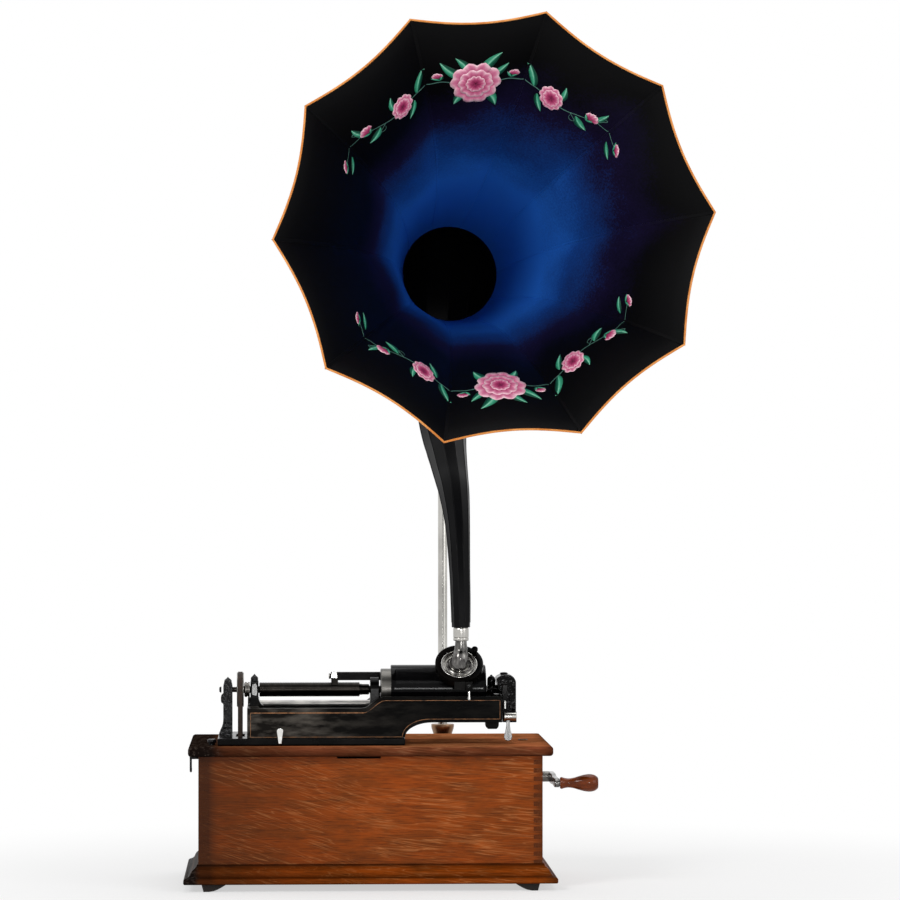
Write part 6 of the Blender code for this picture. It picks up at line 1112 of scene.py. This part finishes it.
outside = ((0.2, 0), (0.92, 0), (1, 0.04), (1, 0.86), (0.84, 0.95), (0.52, 1), (0.1, 0.985))
lean = ((0.42, 0.92), (0.92, 0.84), (1, 0.7), (0.7, 0.3), (0, 0))
housing = [(g["left"] + g["wide"] * u, g["bottom"] + g["high"] * v) for u, v in outside]
housing += [(g["left"] - 6 * u, g["cupLow"] + 22.4 * v) for u, v in lean]
mesh = carve(slab(eased(housing, 1.6, 3, True), "y", -62, -22), "DIFFERENCE",
             box((156, 158.3), (-70, -10), (199.2, 207.6)))
newPiece("gateHousing", mesh, lumpyJapan, "gate", bevel=1.6, segments=4)
# a bright nickel bar on the gate's front that stands for light seen through its slit: a painted light
newPiece("gateSlitPaintedLight", box((151.9, 153.8), (-74.5, -70), (201.4, 210.6)), brightNickel, "gate", bevel=0.3)
knob = [(-3, 0), (-3, 3.2), (0.6, 3.2), (1.2, 4.4), (2.6, 4.6), (3.4, 3.4), (3.8, 0)]
newPiece("gateTopKnob", lathe(knob, (153.4, shaft["y"], 237.6), sides=40, corner=0.7), lumpyJapan, "gate")
newPiece("gateLockSeat", box((152.75, 166), (-74, -56), (186, 198.2)), lumpyJapan, "gate", bevel=0.9)
for index, (y, z) in enumerate(((-54, 205), (-30, 205), (-42, 222))):
    stud = lathe([(-3, 0), (-3, 3.4), (-0.1, 3.4), (-0.02, 2.6), (-0.02, 0)], (166, y, z), (1, 0, 0), 32, 0.4)
    newPiece(f"gateStud{index + 1}", stud, japan, "gate")
ears = bmesh.new()
for low in (middle - 5.3 - 6, middle + 5.3):
    lathe(rod(6, 5.5), (*hinge, low), sides=48, corner=0.4, mesh=ears)
    box((148.7, g["hingeX"]), (14.5, 20.5), (low, low + 6), ears)
newPiece("gateEars", ears, japan, "case", ["gate_hinge"])
newPiece("gatePin", lathe(rod(22.6, 3), (*hinge, middle - 11.3), sides=40), steel)
drum = [(0, 0), (0, 4.2), (0.5, 4.6), (13.9, 4.6), (14.4, 4.2), (14.4, 2.2), (13.6, 1.8), (13.6, 0)]
newPiece("gateLockDrum", alongShaft(drum, 151.1, g["lockY"], g["lockZ"], 48, 0.25), nickel, "gate_lock",
         ["gate_lock"])
shares = ((0.42, 0.05), (0.40, 0.34), (0.6, 0.56), (0.86, 0.72), (1, 0.86), (0.8, 0.96), (0.3, 1))
side = [(156 + 4.7 * u, g["lockZ"] - 27.5 * v) for u, v in shares]
side += [(156 - 4.7 * u, g["lockZ"] - 27.5 * v) for u, v in reversed(shares)]
newPiece("gateLockLever", slab(eased(side, 1.5, 4, True), "y", -80.4, -77.4), steel, "gate_lock", bevel=0.9)
print("gate made")

# small controls, crank and handle

lever = {"x": -102, "width": 7.4, "bottom": 164, "top": 181.5, "front": -98.8, "thick": 1.6}
s, height, half = lever, lever["top"] - lever["bottom"], lever["width"] / 2
shares = ((0.5, 0), (0.58, 0.2), (0.8, 0.55), (1, 0.78), (0.92, 0.9), (0.6, 0.98), (0, 1))
paddle = [(s["x"] + half * u, s["bottom"] + height * v) for u, v in shares]
paddle += [(s["x"] - half * u, s["bottom"] + height * v) for u, v in reversed(shares[:-1])]
newPiece("startLever", slab(eased(paddle, 1.2, 4, True), "y", s["front"] - s["thick"], s["front"]), brightNickel,
         "start_lever", ["start_lever"], bevel=0.5)
newPiece("startLeverTang", box((s["x"] - 1.85, s["x"] + 1.85), (s["front"] - 0.8, -92.6), (170.3, 171.9)), nickel,
         "start_lever", bevel=0.3)
screw = [(0, 0), (0, 2), (24, 2), (24, 3.5), (26, 3.5), (26.6, 5), (29.6, 5), (30.5, 4), (30.5, 0)]
newPiece("speedScrew", lathe(screw, (-178.8, -78, 137.8), sides=40, corner=0.3), wornJapan, "speed_screw",
         ["speed_screw"])
catch = {"x": -203, "y": -60, "z": 146.5, "long": 16}
x, y, z, long = catch.values()
run = [(x, y, z - long * v) for v in (0, 0.4, 0.72)]
run += [(x, y + long * u, z - long * v) for u, v in ((0.06, 0.9), (0.2, 1), (0.34, 0.92), (0.38, 0.78))]
hook = tube([at(*p) for p in smoothRun(run, 5)], 0.0013, 12)
lathe(rod(10.5, 2.08), (x - 1.3, y, z), (1, 0, 0), 24, 0.2, hook)
newPiece("lidCatch", hook, wornJapan, "lid_catch", ["lid_catch"])

crank = {"y": 0, "z": 119, "armLeft": 207.2, "armThick": 6, "armLength": 97.5, "handle": 43, "sleeveLow": -21}
c = crank
outer, handleY = c["armLeft"] + c["armThick"], c["y"] - c["armLength"]
end = outer - c["sleeveLow"]
sleeve = [(0, 0), (0, 4.5), (76, 4.5), (76, 6), (end - 1.5, 6), (end, 4.8), (end, 0)]
newPiece("crankSleeve", alongShaft(sleeve, c["sleeveLow"], c["y"], c["z"], 48, 0.4), dullNickel, "crank")
shares = ((0, -1), (0.35, -1), (0.5, -0.7), (1, -0.839), (1.053, 0), (1, 0.839), (0.5, 0.7), (0.35, 1), (0, 1),
          (-0.0636, 0))
side = eased([(c["y"] - c["armLength"] * u, c["z"] + 6.2 * v) for u, v in shares], 5, 8, True)
newPiece("crankArm", slab(side, "x", c["armLeft"], outer), darkNickel, "crank", ["crank_arm"],
         bevel=1.2)
tip = outer + 0.3 + c["handle"] - 0.6 - outer
newPiece("crankSpindle", alongShaft([(0, 0), (0, 3), (tip - 1, 3), (tip, 2), (tip, 0)], outer, handleY, c["z"], 32,
                                    0.2), nickel, "crank")
shares = ((0, 1.15), (0.05, 1.3), (0.10, 1.15), (0.22, 1), (0.36, 1.15), (0.5, 1.5), (0.64, 1.8), (0.78, 1.923),
          (0.9, 1.75), (0.97, 1.4), (1, 1.15))
run = smoothRun([(c["handle"] * u, 5.2 * v) for u, v in shares], 6)
newPiece("crankHandle", alongShaft([(0, 3.5), *run, (c["handle"], 3.5)], outer + 0.3, handleY, c["z"], 64, 0.1),
         handleWood, "crank_handle", ["crank_handle"], sharp=50)
print("controls and crank made")
